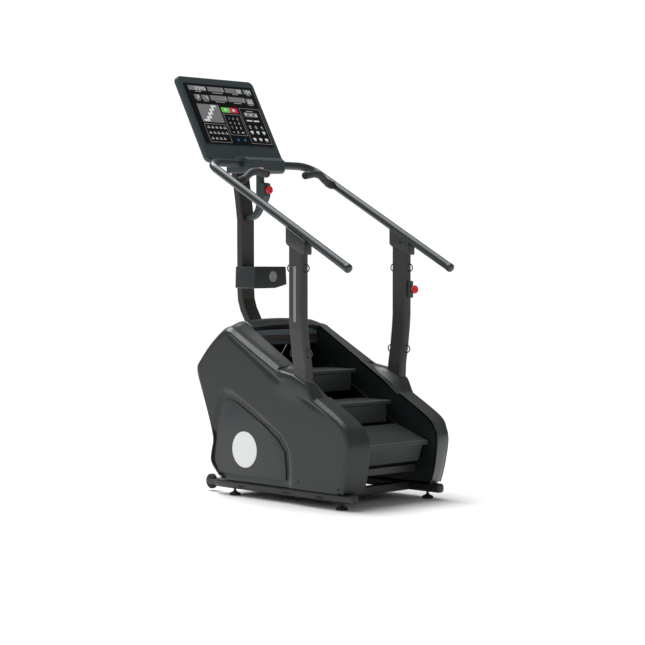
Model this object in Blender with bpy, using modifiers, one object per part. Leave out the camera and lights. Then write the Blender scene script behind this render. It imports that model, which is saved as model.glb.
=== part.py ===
"""Stair climber: an endless-stair exercise machine, in metres, +Z up.

Machine frame: X to the right of the user, Y forward towards the console, Z up, floor at z = 0.
Every piece is modelled in that frame and hangs on the empty "machine_datum", which shifts the
whole machine along Y so that the world origin is the middle of its footprint.
"""
import math

import bmesh
import bpy
from mathutils import Matrix, Vector

# ---------------------------------------------------------------- driving dimensions
DATUM_Y = -0.12985            # puts the middle of the footprint on the world origin
GAP = 0.0004                 # clearance kept between touching pieces

# floor frame
RAIL_X = 0.296
RAIL_HALF_WIDTH = 0.022
RAIL_BOTTOM, RAIL_TOP = 0.033, 0.078
RAIL_FRONT_Y, RAIL_REAR_Y = -0.529, 0.433
FOOT_Y = (-0.438, 0.306)
FOOT_PAD_RADIUS, FOOT_PAD_HEIGHT = 0.028, 0.016
FOOT_STUD_RADIUS = 0.006
CROSS_TUBE_SIZE = 0.040
FRONT_CROSS_Y, REAR_CROSS_Y = -0.320, 0.335
WHEEL_RADIUS, WHEEL_WIDTH = 0.038, 0.030
WHEEL_X, WHEEL_Y, WHEEL_Z = 0.262, 0.517, 0.048
WHEEL_AXLE_RADIUS = 0.006

# stair: pitch line, step section and the wheels the chain runs on
STEP_COUNT = 6
STEP_PITCH = 0.2797
INCLINE = math.radians(30.5)
CHAIN_RADIUS = 0.075         # pitch radius of the sprockets
STEP_DEPTH = 0.226
TREAD_THICKNESS = 0.020
TREAD_HALF_WIDTH = 0.213
RISER_HALF_WIDTH = 0.190
RISER_SETBACK = 0.012
RISER_HEIGHT = 0.105
RISER_THICKNESS = 0.004
PIVOT_BEHIND_NOSE, PIVOT_BELOW_TREAD = 0.113, 0.040
SECOND_NOSE = (-0.272, 0.475)            # nose of the second step (y, z)
FIRST_STEP_TILT = math.radians(19.0)     # how far step 1 has turned onto the lower sprocket
CHAIN_X, CHAIN_HALF_WIDTH, CHAIN_HALF_HEIGHT = 0.2225, 0.006, 0.007
SHAFT_RADIUS = 0.0125
SHAFT_HOLE_RADIUS = 0.0138
DRIVE_PULLEY_RADIUS, MOTOR_PULLEY_RADIUS = 0.085, 0.030
BELT_X, BELT_HALF_WIDTH, BELT_THICKNESS = 0.274, 0.010, 0.003
MOTOR_Y, MOTOR_Z, MOTOR_RADIUS = 0.300, 0.200, 0.062

# side covers and hood
WALL_X = 0.232               # inner edge of the covers, either side of the stair
PLATE_THICKNESS = 0.004
COVER_EDGE_X, COVER_SIDE_X = 0.344, 0.350
COVER_BOTTOM = 0.079
COVER_THICKNESS = 0.0035
RECESS_DEPTH = 0.013
PAD_FRONT_Y, PAD_REAR_Y = -0.304, -0.043
RIM_DROP = 0.006             # how far the inner rim dips beside the pad
PAD_TOP = ((-0.304, 0.5058), (-0.292, 0.518), (-0.276, 0.553), (-0.257, 0.580), (-0.163, 0.622),
           (-0.100, 0.632), (-0.043, 0.6407))

# uprights, handrails and console
POST_Y = -0.208
POST_HALF_X, POST_HALF_Y = 0.024, 0.047
POST_PATH = ((0.321, 0.6025), (0.324, 0.650), (0.339, 0.737), (0.351, 0.835), (0.355, 0.890), (0.355, 1.225))
LOOP_HEIGHTS = (1.121, 0.720)
LOOP_REACH, LOOP_HALF_HEIGHT, LOOP_WIRE_RADIUS = 0.029, 0.0190, 0.003
HANDRAIL_X, HANDRAIL_RADIUS = 0.351, 0.0205
HANDRAIL_FRONT = (-0.5435, 1.1159)
HANDRAIL_CORNER = (0.449, 1.643)
HANDRAIL_BEND = 0.085
HUB_HALF_WIDTH = 0.125
MAST_HALF_X, MAST_HALF_Y = 0.043, 0.0225
MAST_PATH = ((0.388, 0.684), (0.410, 0.720), (0.501, 0.862), (0.530, 0.908), (0.547, 0.955), (0.552, 1.005),
             (0.553, 1.363), (0.568, 1.466), (0.587, 1.569), (0.607, 1.650), (0.634, 1.704), (0.668, 1.762))
CONSOLE_WIDTH, CONSOLE_LENGTH, CONSOLE_THICKNESS = 0.526, 0.508, 0.035
CONSOLE_BASE = (0.540, 1.660)            # lower edge of the console's front face (y, z)
CONSOLE_TILT = math.radians(29.7)        # lean back from the vertical
FACE_HALF_WIDTH, FACE_LOW, FACE_HIGH, FACE_THICKNESS = 0.234, 0.100, 0.464, 0.003
TRAY_HALF_TOP, TRAY_HALF_BOTTOM = 0.1085, 0.1125
TRAY_Y, TRAY_Z, TRAY_WALL = (0.362, 0.5285), (1.016, 1.125), 0.004
ESTOP_TRAVEL = 0.004
ESTOP_HEAD_RADIUS, ESTOP_HEAD_DEPTH = 0.0207, 0.018
ESTOP_STEM_RADIUS = 0.006
ARM_ESTOP_Z, POST_ESTOP_Z = 1.512, 1.014
ARM_HOUSING = ((0.4265, 1.432), (0.414, 1.437), (0.388, 1.480), (0.386, 1.535), (0.392, 1.547),
               (0.4265, 1.552))
GRIP_Y, GRIP_RADIUS = 0.250, 0.019
THUMB_X, THUMB_TRAVEL = 0.173, 0.0015

# ---------------------------------------------------------------- scene, collections, materials
for old in list(bpy.data.objects):
    bpy.data.objects.remove(old, do_unlink=True)

parts = bpy.data.collections.new("stair_climber")
cutters = bpy.data.collections.new("stair_climber_cutters")
for collection in (parts, cutters):
    bpy.context.scene.collection.children.link(collection)

datum = bpy.data.objects.new("machine_datum", None)
datum.location = (0.0, DATUM_Y, 0.0)
parts.objects.link(datum)
bpy.context.view_layer.update()


def material(name, color, roughness, metallic=0.0):
    made = bpy.data.materials.new(name)
    made.use_nodes = True
    shader = made.node_tree.nodes["Principled BSDF"]
    shader.inputs["Base Color"].default_value = (*color, 1.0)
    shader.inputs["Roughness"].default_value = roughness
    shader.inputs["Metallic"].default_value = metallic
    return made


COVER_PLASTIC = material("cover_plastic", (0.055, 0.060, 0.062), 0.48)
PANEL_PLASTIC = material("panel_plastic", (0.050, 0.056, 0.060), 0.52)
FRAME_PAINT = material("frame_paint", (0.030, 0.034, 0.034), 0.40, 0.2)
MAST_PAINT = material("mast_paint", (0.028, 0.027, 0.024), 0.45, 0.2)
RAIL_PAINT = material("rail_paint", (0.045, 0.055, 0.058), 0.35, 0.2)
TREAD_PLASTIC = material("tread_plastic", (0.050, 0.057, 0.058), 0.60)
CONSOLE_PLASTIC = material("console_plastic", (0.030, 0.045, 0.048), 0.45)
FACE_FILM = material("face_film", (0.006, 0.008, 0.009), 0.25)
GRIP_RUBBER = material("grip_rubber", (0.035, 0.038, 0.040), 0.70)
BLACK_RUBBER = material("black_rubber", (0.010, 0.010, 0.010), 0.75)
STEEL = material("bare_steel", (0.42, 0.43, 0.44), 0.35, 1.0)
CHAIN_STEEL = material("chain_steel", (0.06, 0.06, 0.06), 0.45, 1.0)
ESTOP_RED = material("estop_red", (0.62, 0.010, 0.018), 0.35)
BUTTON_ORANGE = material("button_orange", (0.80, 0.32, 0.22), 0.40)


# ---------------------------------------------------------------- modelling helpers
def keep(obj, finish):
    """Give a sub-part its material, its collection and the machine datum as parent."""
    if obj.name not in parts.objects:
        parts.objects.link(obj)
    obj.data.materials.clear()
    obj.data.materials.append(finish)
    obj.parent = datum
    return obj


def from_bmesh(name, bm, finish, smooth_angle=40.0):
    bmesh.ops.recalc_face_normals(bm, faces=bm.faces)
    mesh = bpy.data.meshes.new(name)
    bm.to_mesh(mesh)
    bm.free()
    mesh.shade_smooth()
    mesh.set_sharp_from_angle(angle=math.radians(smooth_angle))
    return keep(bpy.data.objects.new(name, mesh), finish)


def add_bevel(obj, width, segments=2, angle=35.0):
    bevel = obj.modifiers.new("edges", "BEVEL")
    bevel.width = width
    bevel.segments = segments
    bevel.limit_method = "ANGLE"
    bevel.angle_limit = math.radians(angle)
    return obj


def box(name, low, high, finish, bevel=0.0, segments=2):
    bm = bmesh.new()
    size = Vector(high) - Vector(low)
    middle = (Vector(high) + Vector(low)) / 2
    bmesh.ops.create_cube(bm, size=1.0, matrix=Matrix.Translation(middle) @ Matrix.Diagonal((*size, 1.0)))
    obj = from_bmesh(name, bm, finish)
    return add_bevel(obj, bevel, segments) if bevel else obj


def axis_matrix(axis):
    """Turn +Z onto the named axis."""
    return {"X": Matrix.Rotation(math.pi / 2, 4, "Y"), "Y": Matrix.Rotation(-math.pi / 2, 4, "X"),
            "Z": Matrix.Identity(4)}[axis]


def rod(name, centre, radius, length, axis, finish, sides=24):
    bm = bmesh.new()
    bmesh.ops.create_cone(bm, cap_ends=True, segments=sides, radius1=radius, radius2=radius, depth=length,
                          matrix=Matrix.Translation(centre) @ axis_matrix(axis))
    return from_bmesh(name, bm, finish)


def turned(name, profile, axis, centre, finish, sides=24, ring=False):
    """Revolve (radius, height) points about an axis; a ring profile is closed and keeps a bore."""
    bm = bmesh.new()
    verts = [bm.verts.new((radius, 0.0, height)) for radius, height in profile]
    edges = [bm.edges.new(pair) for pair in zip(verts, verts[1:])]
    if ring:
        edges.append(bm.edges.new((verts[-1], verts[0])))
    bmesh.ops.spin(bm, geom=verts + edges, cent=(0, 0, 0), axis=(0, 0, 1), angle=2 * math.pi, steps=sides)
    bmesh.ops.remove_doubles(bm, verts=bm.verts, dist=1e-6)
    bm.transform(Matrix.Translation(centre) @ axis_matrix(axis))
    return from_bmesh(name, bm, finish)


def loft(name, rings, finish, smooth_angle=40.0):
    """Skin a solid over rings that have the same number of points."""
    bm = bmesh.new()
    rows = [[bm.verts.new(point) for point in ring] for ring in rings]
    count = len(rows[0])
    for row, following in zip(rows, rows[1:]):
        for i in range(count):
            j = (i + 1) % count
            bm.faces.new((row[i], row[j], following[j], following[i]))
    bm.faces.new(rows[0][::-1])
    bm.faces.new(rows[-1])
    return from_bmesh(name, bm, finish, smooth_angle)


def rounded_rectangle(half_u, half_v, radius, steps=3):
    points = []
    for corner, (su, sv) in enumerate(((1, 1), (-1, 1), (-1, -1), (1, -1))):
        for k in range(steps + 1):
            angle = math.pi / 2 * (corner + k / steps)
            points.append((su * (half_u - radius) + radius * math.cos(angle),
                           sv * (half_v - radius) + radius * math.sin(angle)))
    return points


def flat_outline(name, loops, x_low, x_high, finish):
    """A plate whose (y, z) outline, with any holes as further loops, is extruded along X."""
    curve = bpy.data.curves.new(name, "CURVE")
    curve.dimensions = "2D"
    curve.fill_mode = "BOTH"
    curve.extrude = (x_high - x_low) / 2
    for loop in loops:
        spline = curve.splines.new("POLY")
        spline.points.add(len(loop) - 1)
        for point, (y, z) in zip(spline.points, loop):
            point.co = (y, z, 0.0, 1.0)
        spline.use_cyclic_u = True
    obj = bpy.data.objects.new(name, curve)
    obj.location = ((x_low + x_high) / 2, 0.0, 0.0)
    obj.rotation_euler = (math.pi / 2, 0.0, math.pi / 2)
    return keep(obj, finish)


def tube(name, points, radius, finish, resolution=2, scales=None, cyclic=False):
    curve = bpy.data.curves.new(name, "CURVE")
    curve.dimensions = "3D"
    curve.bevel_depth = radius
    curve.bevel_resolution = resolution
    curve.use_fill_caps = True
    spline = curve.splines.new("POLY")
    spline.points.add(len(points) - 1)
    for i, point in enumerate(points):
        spline.points[i].co = (*point, 1.0)
        spline.points[i].radius = scales[i] if scales else 1.0
    spline.use_cyclic_u = cyclic
    return keep(bpy.data.objects.new(name, curve), finish)


def as_mesh(obj):
    """Replace a curve object by its evaluated mesh, with the caps welded on."""
    bpy.context.view_layer.update()
    evaluated = obj.evaluated_get(bpy.context.evaluated_depsgraph_get())
    mesh = bpy.data.meshes.new_from_object(evaluated)
    bm = bmesh.new()
    bm.from_mesh(mesh)
    bmesh.ops.remove_doubles(bm, verts=bm.verts, dist=1e-6)
    bmesh.ops.transform(bm, matrix=obj.matrix_basis, verts=bm.verts)
    name, finish = obj.name, obj.data.materials[0]
    bpy.data.objects.remove(obj, do_unlink=True)
    bpy.data.meshes.remove(mesh)
    return from_bmesh(name, bm, finish)


def as_tool(obj):
    """Move an object to the cutters: it shapes another piece and isn't built itself."""
    parts.objects.unlink(obj)
    cutters.objects.link(obj)
    obj.hide_render = True
    obj.display_type = "WIRE"
    return obj


def combine(obj, tool, operation):
    boolean = obj.modifiers.new(operation.lower(), "BOOLEAN")
    boolean.operation = operation
    boolean.solver = "EXACT"
    boolean.object = as_tool(tool)
    return obj


def blend(a, b, t):
    return a + (b - a) * t


def smoothstep(low, high, value):
    t = min(max((value - low) / (high - low), 0.0), 1.0)
    return t * t * (3 - 2 * t)


def catmull(points, per_span):
    """A smooth open line through the points, per_span steps between neighbours."""
    result = []
    for i in range(len(points) - 1):
        p0, p1 = points[max(i - 1, 0)], points[i]
        p2, p3 = points[i + 1], points[min(i + 2, len(points) - 1)]
        for k in range(per_span):
            t = k / per_span
            result.append(tuple(0.5 * (2 * b + (c - a) * t + (2 * a - 5 * b + 4 * c - d) * t * t
                                       + (3 * b - a - 3 * c + d) * t ** 3)
                                for a, b, c, d in zip(p0, p1, p2, p3)))
    result.append(tuple(points[-1]))
    return result


def belt_loop(centre_a, radius_a, centre_b, radius_b, steps=10):
    """Outline of a belt around two pulleys in the (y, z) plane."""
    dy, dz = centre_b[0] - centre_a[0], centre_b[1] - centre_a[1]
    heading = math.atan2(dz, dy)
    spread = math.acos((radius_a - radius_b) / math.hypot(dy, dz))
    loop = []
    for centre, radius, start, end in ((centre_a, radius_a, heading + spread, heading + 2 * math.pi - spread),
                                       (centre_b, radius_b, heading - spread, heading + spread)):
        for k in range(steps + 1):
            angle = blend(start, end, k / steps)
            loop.append((centre[0] + radius * math.cos(angle), centre[1] + radius * math.sin(angle)))
    return loop


def both_sides():
    return (("left", -1), ("right", 1))


# ---------------------------------------------------------------- floor frame
def floor_frame():
    for side, sign in both_sides():
        x = sign * RAIL_X
        box(f"floor_rail_{side}", (x - RAIL_HALF_WIDTH, RAIL_FRONT_Y, RAIL_BOTTOM),
            (x + RAIL_HALF_WIDTH, RAIL_REAR_Y, RAIL_TOP), FRAME_PAINT, bevel=0.012, segments=3)
    reach = RAIL_X - RAIL_HALF_WIDTH - GAP
    middle_z = (RAIL_BOTTOM + RAIL_TOP) / 2
    half = CROSS_TUBE_SIZE / 2
    for name, y in (("front_cross_tube", FRONT_CROSS_Y), ("rear_cross_tube", REAR_CROSS_Y)):
        box(name, (-reach, y - half, middle_z - half), (reach, y + half, middle_z + half), FRAME_PAINT,
            bevel=0.004)
    for place, y in zip(("front", "rear"), FOOT_Y):
        for side, sign in both_sides():
            pad, stud = FOOT_PAD_RADIUS, FOOT_STUD_RADIUS
            profile = ((0, 0), (pad - 0.003, 0), (pad, 0.003), (pad, 0.010), (pad * 0.62, FOOT_PAD_HEIGHT),
                       (0.010, FOOT_PAD_HEIGHT), (0.010, 0.023), (stud, 0.023), (stud, RAIL_BOTTOM - GAP),
                       (0, RAIL_BOTTOM - GAP))
            turned(f"foot_{place}_{side}", profile, "Z", (sign * RAIL_X, y, 0), BLACK_RUBBER, sides=20)


def transport_wheels():
    """Two wheels behind the rails, just clear of the floor, that take the load when it is tipped back."""
    outer = WHEEL_X + WHEEL_WIDTH / 2
    for side, sign in both_sides():
        x = sign * WHEEL_X
        rim, half, bore = WHEEL_RADIUS, WHEEL_WIDTH / 2, WHEEL_AXLE_RADIUS + 0.0005
        profile = ((bore, half), (0.018, half), (0.021, half - 0.003), (rim - 0.006, half - 0.003),
                   (rim, half - 0.009), (rim, 0.009 - half), (rim - 0.006, 0.003 - half),
                   (0.021, 0.003 - half), (0.018, -half), (bore, -half))
        turned(f"wheel_{side}", profile, "X", (x, WHEEL_Y, WHEEL_Z), BLACK_RUBBER, sides=28, ring=True)
        root_y = RAIL_REAR_Y + GAP
        inner_x, outer_x = sorted((sign * (outer + 0.0015), sign * (outer + 0.0095)))
        bracket = box(f"wheel_bracket_{side}", (inner_x, root_y, WHEEL_Z - 0.012),
                      (outer_x, WHEEL_Y + 0.012, WHEEL_Z + 0.012), FRAME_PAINT, bevel=0.003)
        foot_low, foot_high = sorted((sign * (RAIL_X - RAIL_HALF_WIDTH), sign * (RAIL_X + 0.012)))
        combine(bracket, box(f"bracket_foot_{side}", (foot_low, root_y, WHEEL_Z - 0.013),
                             (foot_high, root_y + 0.008, WHEEL_Z + 0.020), FRAME_PAINT), "UNION")
        axle_length = WHEEL_WIDTH + 0.008
        combine(bracket, rod(f"axle_{side}", (sign * (outer + 0.005 - axle_length / 2), WHEEL_Y, WHEEL_Z),
                             WHEEL_AXLE_RADIUS, axle_length, "X", STEEL), "UNION")


# ---------------------------------------------------------------- stair
RUN_Y, RUN_Z = math.cos(INCLINE), math.sin(INCLINE)          # up the incline
PIVOT_TWO = (SECOND_NOSE[0] + PIVOT_BEHIND_NOSE, SECOND_NOSE[1] - PIVOT_BELOW_TREAD)
RUN_TO_TANGENT = STEP_PITCH - CHAIN_RADIUS * FIRST_STEP_TILT
LOWER_CENTRE = (PIVOT_TWO[0] - RUN_TO_TANGENT * RUN_Y + CHAIN_RADIUS * RUN_Z,
                PIVOT_TWO[1] - RUN_TO_TANGENT * RUN_Z - CHAIN_RADIUS * RUN_Y)
CENTRE_DISTANCE = (STEP_COUNT * STEP_PITCH - 2 * math.pi * CHAIN_RADIUS) / 2
UPPER_CENTRE = (LOWER_CENTRE[0] + CENTRE_DISTANCE * RUN_Y, LOWER_CENTRE[1] + CENTRE_DISTANCE * RUN_Z)


def chain_place(distance):
    """Pivot (y, z) and turn of a step, by distance along the chain from the lower tangent point."""
    arc = math.pi * CHAIN_RADIUS
    distance %= STEP_COUNT * STEP_PITCH
    up, out = (RUN_Y, RUN_Z), (-RUN_Z, RUN_Y)
    if distance < CENTRE_DISTANCE:
        centre, turn, along = LOWER_CENTRE, 0.0, distance
    elif distance < CENTRE_DISTANCE + arc:
        centre, turn, along = UPPER_CENTRE, -(distance - CENTRE_DISTANCE) / CHAIN_RADIUS, 0.0
    elif distance < 2 * CENTRE_DISTANCE + arc:
        centre, turn, along = UPPER_CENTRE, -math.pi, distance - CENTRE_DISTANCE - arc
    else:
        past = distance - 2 * CENTRE_DISTANCE - arc
        centre, turn, along = LOWER_CENTRE, -math.pi - past / CHAIN_RADIUS, 0.0
    cosine, sine = math.cos(turn), math.sin(turn)
    y = centre[0] + (out[0] * cosine - out[1] * sine) * CHAIN_RADIUS + (up[0] * cosine - up[1] * sine) * along
    z = centre[1] + (out[0] * sine + out[1] * cosine) * CHAIN_RADIUS + (up[0] * sine + up[1] * cosine) * along
    return y, z, turn


def stair():
    nose, pivot_z = -PIVOT_BEHIND_NOSE, PIVOT_BELOW_TREAD
    under = pivot_z - TREAD_THICKNESS
    for number in range(1, STEP_COUNT + 1):
        y, z, turn = chain_place((number - 1) * STEP_PITCH - CHAIN_RADIUS * FIRST_STEP_TILT)
        # section of the tread about its pivot: lipped nose, flat top, thin plate behind
        section = ((nose, pivot_z - 0.004), (nose + 0.004, pivot_z), (nose + STEP_DEPTH, pivot_z),
                   (nose + STEP_DEPTH, under), (nose + 0.010, under), (nose, under + 0.006))
        tread = as_mesh(flat_outline(f"tread_{number}", [section], -TREAD_HALF_WIDTH, TREAD_HALF_WIDTH,
                                     TREAD_PLASTIC))
        for side, sign in both_sides():
            lug_low, lug_high = sorted((sign * 0.1985, sign * (TREAD_HALF_WIDTH - 0.002)))
            lug = ((-0.016, under + 0.006), (0.016, under + 0.006), (0.012, -0.012), (-0.012, -0.012))
            combine(tread, as_mesh(flat_outline(f"lug_{number}_{side}", [lug], lug_low, lug_high,
                                                TREAD_PLASTIC)), "UNION")
            stub = CHAIN_X - CHAIN_HALF_WIDTH - GAP
            axle = rod(f"stub_{number}_{side}", (sign * (0.205 + stub) / 2, 0, 0), 0.006, stub - 0.205,
                       "X", STEEL, sides=16)
            combine(tread, axle, "UNION")
        riser = box(f"riser_{number}", (-RISER_HALF_WIDTH, nose + RISER_SETBACK, pivot_z - RISER_HEIGHT),
                    (RISER_HALF_WIDTH, nose + RISER_SETBACK + RISER_THICKNESS, under - GAP), TREAD_PLASTIC)
        combine(riser, box(f"riser_foot_{number}", (-RISER_HALF_WIDTH, nose + RISER_SETBACK, under - 0.004),
                           (RISER_HALF_WIDTH, nose + 0.040, under - GAP), TREAD_PLASTIC), "UNION")
        for obj in [tread, riser] + [m.object for piece in (tread, riser) for m in piece.modifiers]:
            obj.parent = datum
            obj.location = (0.0, y, z)
            obj.rotation_euler = (turn, 0.0, 0.0)


def chain_and_shafts():
    inner = CHAIN_RADIUS - CHAIN_HALF_HEIGHT
    outer = CHAIN_RADIUS + CHAIN_HALF_HEIGHT
    loops = [belt_loop(LOWER_CENTRE, radius, UPPER_CENTRE, radius, steps=14) for radius in (outer, inner)]
    for side, sign in both_sides():
        low, high = sorted((sign * (CHAIN_X - CHAIN_HALF_WIDTH), sign * (CHAIN_X + CHAIN_HALF_WIDTH)))
        flat_outline(f"chain_{side}", loops, low, high, CHAIN_STEEL)
    sprocket = inner - 0.0008
    near, far = CHAIN_X - CHAIN_HALF_WIDTH + 0.001, CHAIN_X + CHAIN_HALF_WIDTH - 0.001
    end = WALL_X + PLATE_THICKNESS + 0.010
    left_end = ((0, -end), (SHAFT_RADIUS, -end), (SHAFT_RADIUS, -far), (sprocket, -far), (sprocket, -near),
                (SHAFT_RADIUS, -near))
    right_sprocket = ((SHAFT_RADIUS, near), (sprocket, near), (sprocket, far), (SHAFT_RADIUS, far))
    turned("lower_shaft", left_end + right_sprocket + ((SHAFT_RADIUS, end), (0, end)), "X",
           (0, *LOWER_CENTRE), STEEL, sides=32)
    pulley_low, pulley_high = BELT_X - BELT_HALF_WIDTH - 0.001, BELT_X + BELT_HALF_WIDTH + 0.001
    pulley = ((SHAFT_RADIUS, pulley_low), (DRIVE_PULLEY_RADIUS, pulley_low), (DRIVE_PULLEY_RADIUS, pulley_high),
              (0, pulley_high))
    turned("upper_shaft", left_end + right_sprocket + pulley, "X", (0, *UPPER_CENTRE), STEEL, sides=32)
    motor_centre = (MOTOR_Y, MOTOR_Z)
    belt = [belt_loop(UPPER_CENTRE, DRIVE_PULLEY_RADIUS + offset, motor_centre, MOTOR_PULLEY_RADIUS + offset,
                      steps=16) for offset in (BELT_THICKNESS + 0.0012, 0.0012)]
    flat_outline("drive_belt", belt, BELT_X - BELT_HALF_WIDTH, BELT_X + BELT_HALF_WIDTH, BLACK_RUBBER)
    motor_face = 0.190
    turned("motor_pulley", ((0, motor_face + 0.001), (0.008, motor_face + 0.001), (0.008, pulley_low),
                            (MOTOR_PULLEY_RADIUS, pulley_low), (MOTOR_PULLEY_RADIUS, pulley_high),
                            (0, pulley_high)), "X", (0, *motor_centre), STEEL, sides=28)
    rim = MOTOR_RADIUS
    motor = turned("drive_motor", ((0, -0.020), (rim - 0.008, -0.020), (rim, -0.012), (rim, motor_face - 0.012),
                                   (rim - 0.008, motor_face), (0, motor_face)), "X", (0, *motor_centre),
                   FRAME_PAINT, sides=28)
    pedestal_bottom = (RAIL_BOTTOM + RAIL_TOP + CROSS_TUBE_SIZE) / 2 + GAP
    combine(motor, box("motor_pedestal", (0.010, MOTOR_Y - 0.045, pedestal_bottom),
                       (0.160, REAR_CROSS_Y + 0.015, MOTOR_Z - 0.035), FRAME_PAINT), "UNION")


# ---------------------------------------------------------------- side covers, plates and hood
# Outlines run from the front foot up over the incline and down the back, as (y, z) points.
COVER_REAR = ((0.362, 0.800), (0.410, 0.765), (0.463, 0.719), (0.505, 0.674), (0.536, 0.634), (0.533, 0.590),
              (0.512, 0.535), (0.483, 0.461), (0.460, 0.402), (0.433, 0.324), (0.421, 0.265), (0.434, 0.205),
              (0.436, 0.159), (0.400, 0.115), (0.352, COVER_BOTTOM))
INNER_REAR = ((0.384, 0.828), (0.430, 0.785), (0.482, 0.735), (0.520, 0.686), (0.549, 0.642)) + tuple(
    (y + 0.012, z + 0.006) for y, z in COVER_REAR[5:-1]) + ((0.364, COVER_BOTTOM),)
INNER_OUTLINE = ((-0.513, COVER_BOTTOM), (-0.534, 0.130), (-0.549, 0.200), (-0.558, 0.290), (-0.545, 0.350),
                 (-0.490, 0.409), (-0.304, 0.5142), (-0.043, 0.6614), (0.100, 0.7425), (0.245, 0.8245),
                 (0.298, 0.851), (0.340, 0.853)) + INNER_REAR
OUTER_OUTLINE = ((-0.486, COVER_BOTTOM), (-0.505, 0.130), (-0.522, 0.195), (-0.537, 0.285), (-0.526, 0.345),
                 (-0.484, 0.404), (-0.304, 0.5058), (-0.043, 0.6407), (0.100, 0.7145), (0.245, 0.789),
                 (0.291, 0.814), (0.325, 0.818)) + COVER_REAR
RECESS_OUTLINE = ((0.330, 0.515), (0.270, 0.512), (0.200, 0.478), (0.056, 0.400), (-0.071, 0.327),
                  (-0.126, 0.260), (-0.140, 0.165), (-0.140, 0.020), (0.470, 0.020), (0.470, 0.130),
                  (0.450, 0.242), (0.420, 0.317), (0.392, 0.400), (0.362, 0.475))
COVER_MIDDLE = (0.060, 0.380)


def inside_distance(y, z, outline):
    """Distance to the outline's edge, positive inside it."""
    nearest, inside = 1e9, False
    for (y1, z1), (y2, z2) in zip(outline, outline[1:] + outline[:1]):
        span_y, span_z = y2 - y1, z2 - z1
        t = ((y - y1) * span_y + (z - z1) * span_z) / (span_y ** 2 + span_z ** 2)
        t = min(max(t, 0.0), 1.0)
        nearest = min(nearest, math.hypot(y - y1 - t * span_y, z - z1 - t * span_z))
        if (z1 > z) != (z2 > z) and y < y1 + (z - z1) * span_y / span_z:
            inside = not inside
    return nearest if inside else -nearest


def side_x(y, z):
    """Distance of the cover's side face from the middle plane, with its soft recess."""
    depth = RECESS_DEPTH * smoothstep(-0.012, 0.016, inside_distance(y, z, RECESS_OUTLINE))
    return COVER_SIDE_X + 0.0005 - depth


def on_pad(y):
    """1 where the cover rises to the pad that carries the post, 0 elsewhere."""
    edge = 0.008
    return smoothstep(PAD_FRONT_Y, PAD_FRONT_Y + edge, y) * (1 - smoothstep(PAD_REAR_Y - edge, PAD_REAR_Y, y))


def pad_top(y):
    for (y0, z0), (y1, z1) in zip(PAD_TOP, PAD_TOP[1:]):
        if y0 <= y <= y1:
            return blend(z0, z1, (y - y0) / (y1 - y0))
    return 0.0


def cover_band_outlines():
    """Both outlines sampled alike, denser along the pad of the post."""
    inner, outer = [], []
    pad_span = INNER_OUTLINE.index((-0.304, 0.5142))
    for i in range(len(INNER_OUTLINE) - 1):
        ends = [catmull(line[max(i - 1, 0):i + 3], 4) for line in (INNER_OUTLINE, OUTER_OUTLINE)]
        first = 4 if i else 0
        fractions = (0.0, 0.034, 0.11, 0.18, 0.37, 0.54, 0.78, 0.966) if i == pad_span else (0.0, 0.5)
        for fraction in fractions:
            for result, fine in zip((inner, outer), ends):
                at = first + fraction * 4
                low = min(int(at), len(fine) - 2)
                result.append(tuple(blend(a, b, at - low) for a, b in zip(fine[low], fine[low + 1])))
    inner.append(INNER_OUTLINE[-1])
    outer.append(OUTER_OUTLINE[-1])
    return inner, outer


def side_covers():
    inner, outer = cover_band_outlines()
    bottom_steps = 9
    bottom = [(blend(outer[-1][0], outer[0][0], k / bottom_steps), COVER_BOTTOM)
              for k in range(1, bottom_steps)]
    edge = outer + bottom
    for side, sign in both_sides():
        bm = bmesh.new()
        rows = []
        # (x, how far from the inner to the outer outline, outward bulge by the pad, height against its top)
        band = ((WALL_X + 0.001, 0.0, 0.0, None), (0.258, 0.20, 0.0, None), (0.290, 0.52, 0.0, 0.0),
                (0.332, 0.93, 0.012, 0.0), (COVER_EDGE_X, 1.02, 0.015, -0.010))
        for x, mix, bulge, below in band:
            row = []
            for (yi, zi), (yo, zo) in zip(inner, outer):
                y, z = blend(yi, yo, mix), blend(zi, zo, mix)
                low = on_pad(y) if z > 0.45 and y < 0.0 else 0.0
                height = z - RIM_DROP * low if below is None else blend(z, max(z, pad_top(y) + below), low)
                row.append(bm.verts.new((sign * (x + bulge * low), y, height)))
            rows.append(row)
        for scale in (0.965, 0.88, 0.78, 0.68, 0.56, 0.42, 0.26, 0.12):
            row = []
            for y, z in edge:
                low = on_pad(y) if scale > 0.9 and z > 0.45 and y < 0.0 else 0.0
                yy = blend(COVER_MIDDLE[0], y, scale)
                zz = blend(COVER_MIDDLE[1], z, scale) if z > COVER_BOTTOM else COVER_BOTTOM
                if z <= COVER_BOTTOM:
                    zz = blend(COVER_MIDDLE[1], COVER_BOTTOM, scale)
                row.append(bm.verts.new((sign * (side_x(yy, zz) + 0.008 * low), yy, zz)))
            rows.append(row)
        foot = [bm.verts.new((sign * side_x(y, z), y, z)) for y, z in bottom]
        rows[len(band) - 1] += foot
        for row, following in zip(rows, rows[1:]):
            count = min(len(row), len(following))
            closed = count == len(edge)
            for i in range(count if closed else count - 1):
                j = (i + 1) % count
                bm.faces.new((row[i], row[j], following[j], following[i]))
        hub = bm.verts.new((sign * side_x(*COVER_MIDDLE), *COVER_MIDDLE))
        last = rows[-1]
        for i in range(len(last)):
            bm.faces.new((last[i], last[(i + 1) % len(last)], hub))
        cover = from_bmesh(f"side_cover_{side}", bm, COVER_PLASTIC, 30.0)
        if sum(face.normal.x * face.area for face in cover.data.polygons) * sign < 0:
            cover.data.flip_normals()
        shell = cover.modifiers.new("wall", "SOLIDIFY")
        shell.thickness = COVER_THICKNESS
        shell.offset = -1.0
        shell.use_even_offset = False


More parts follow.
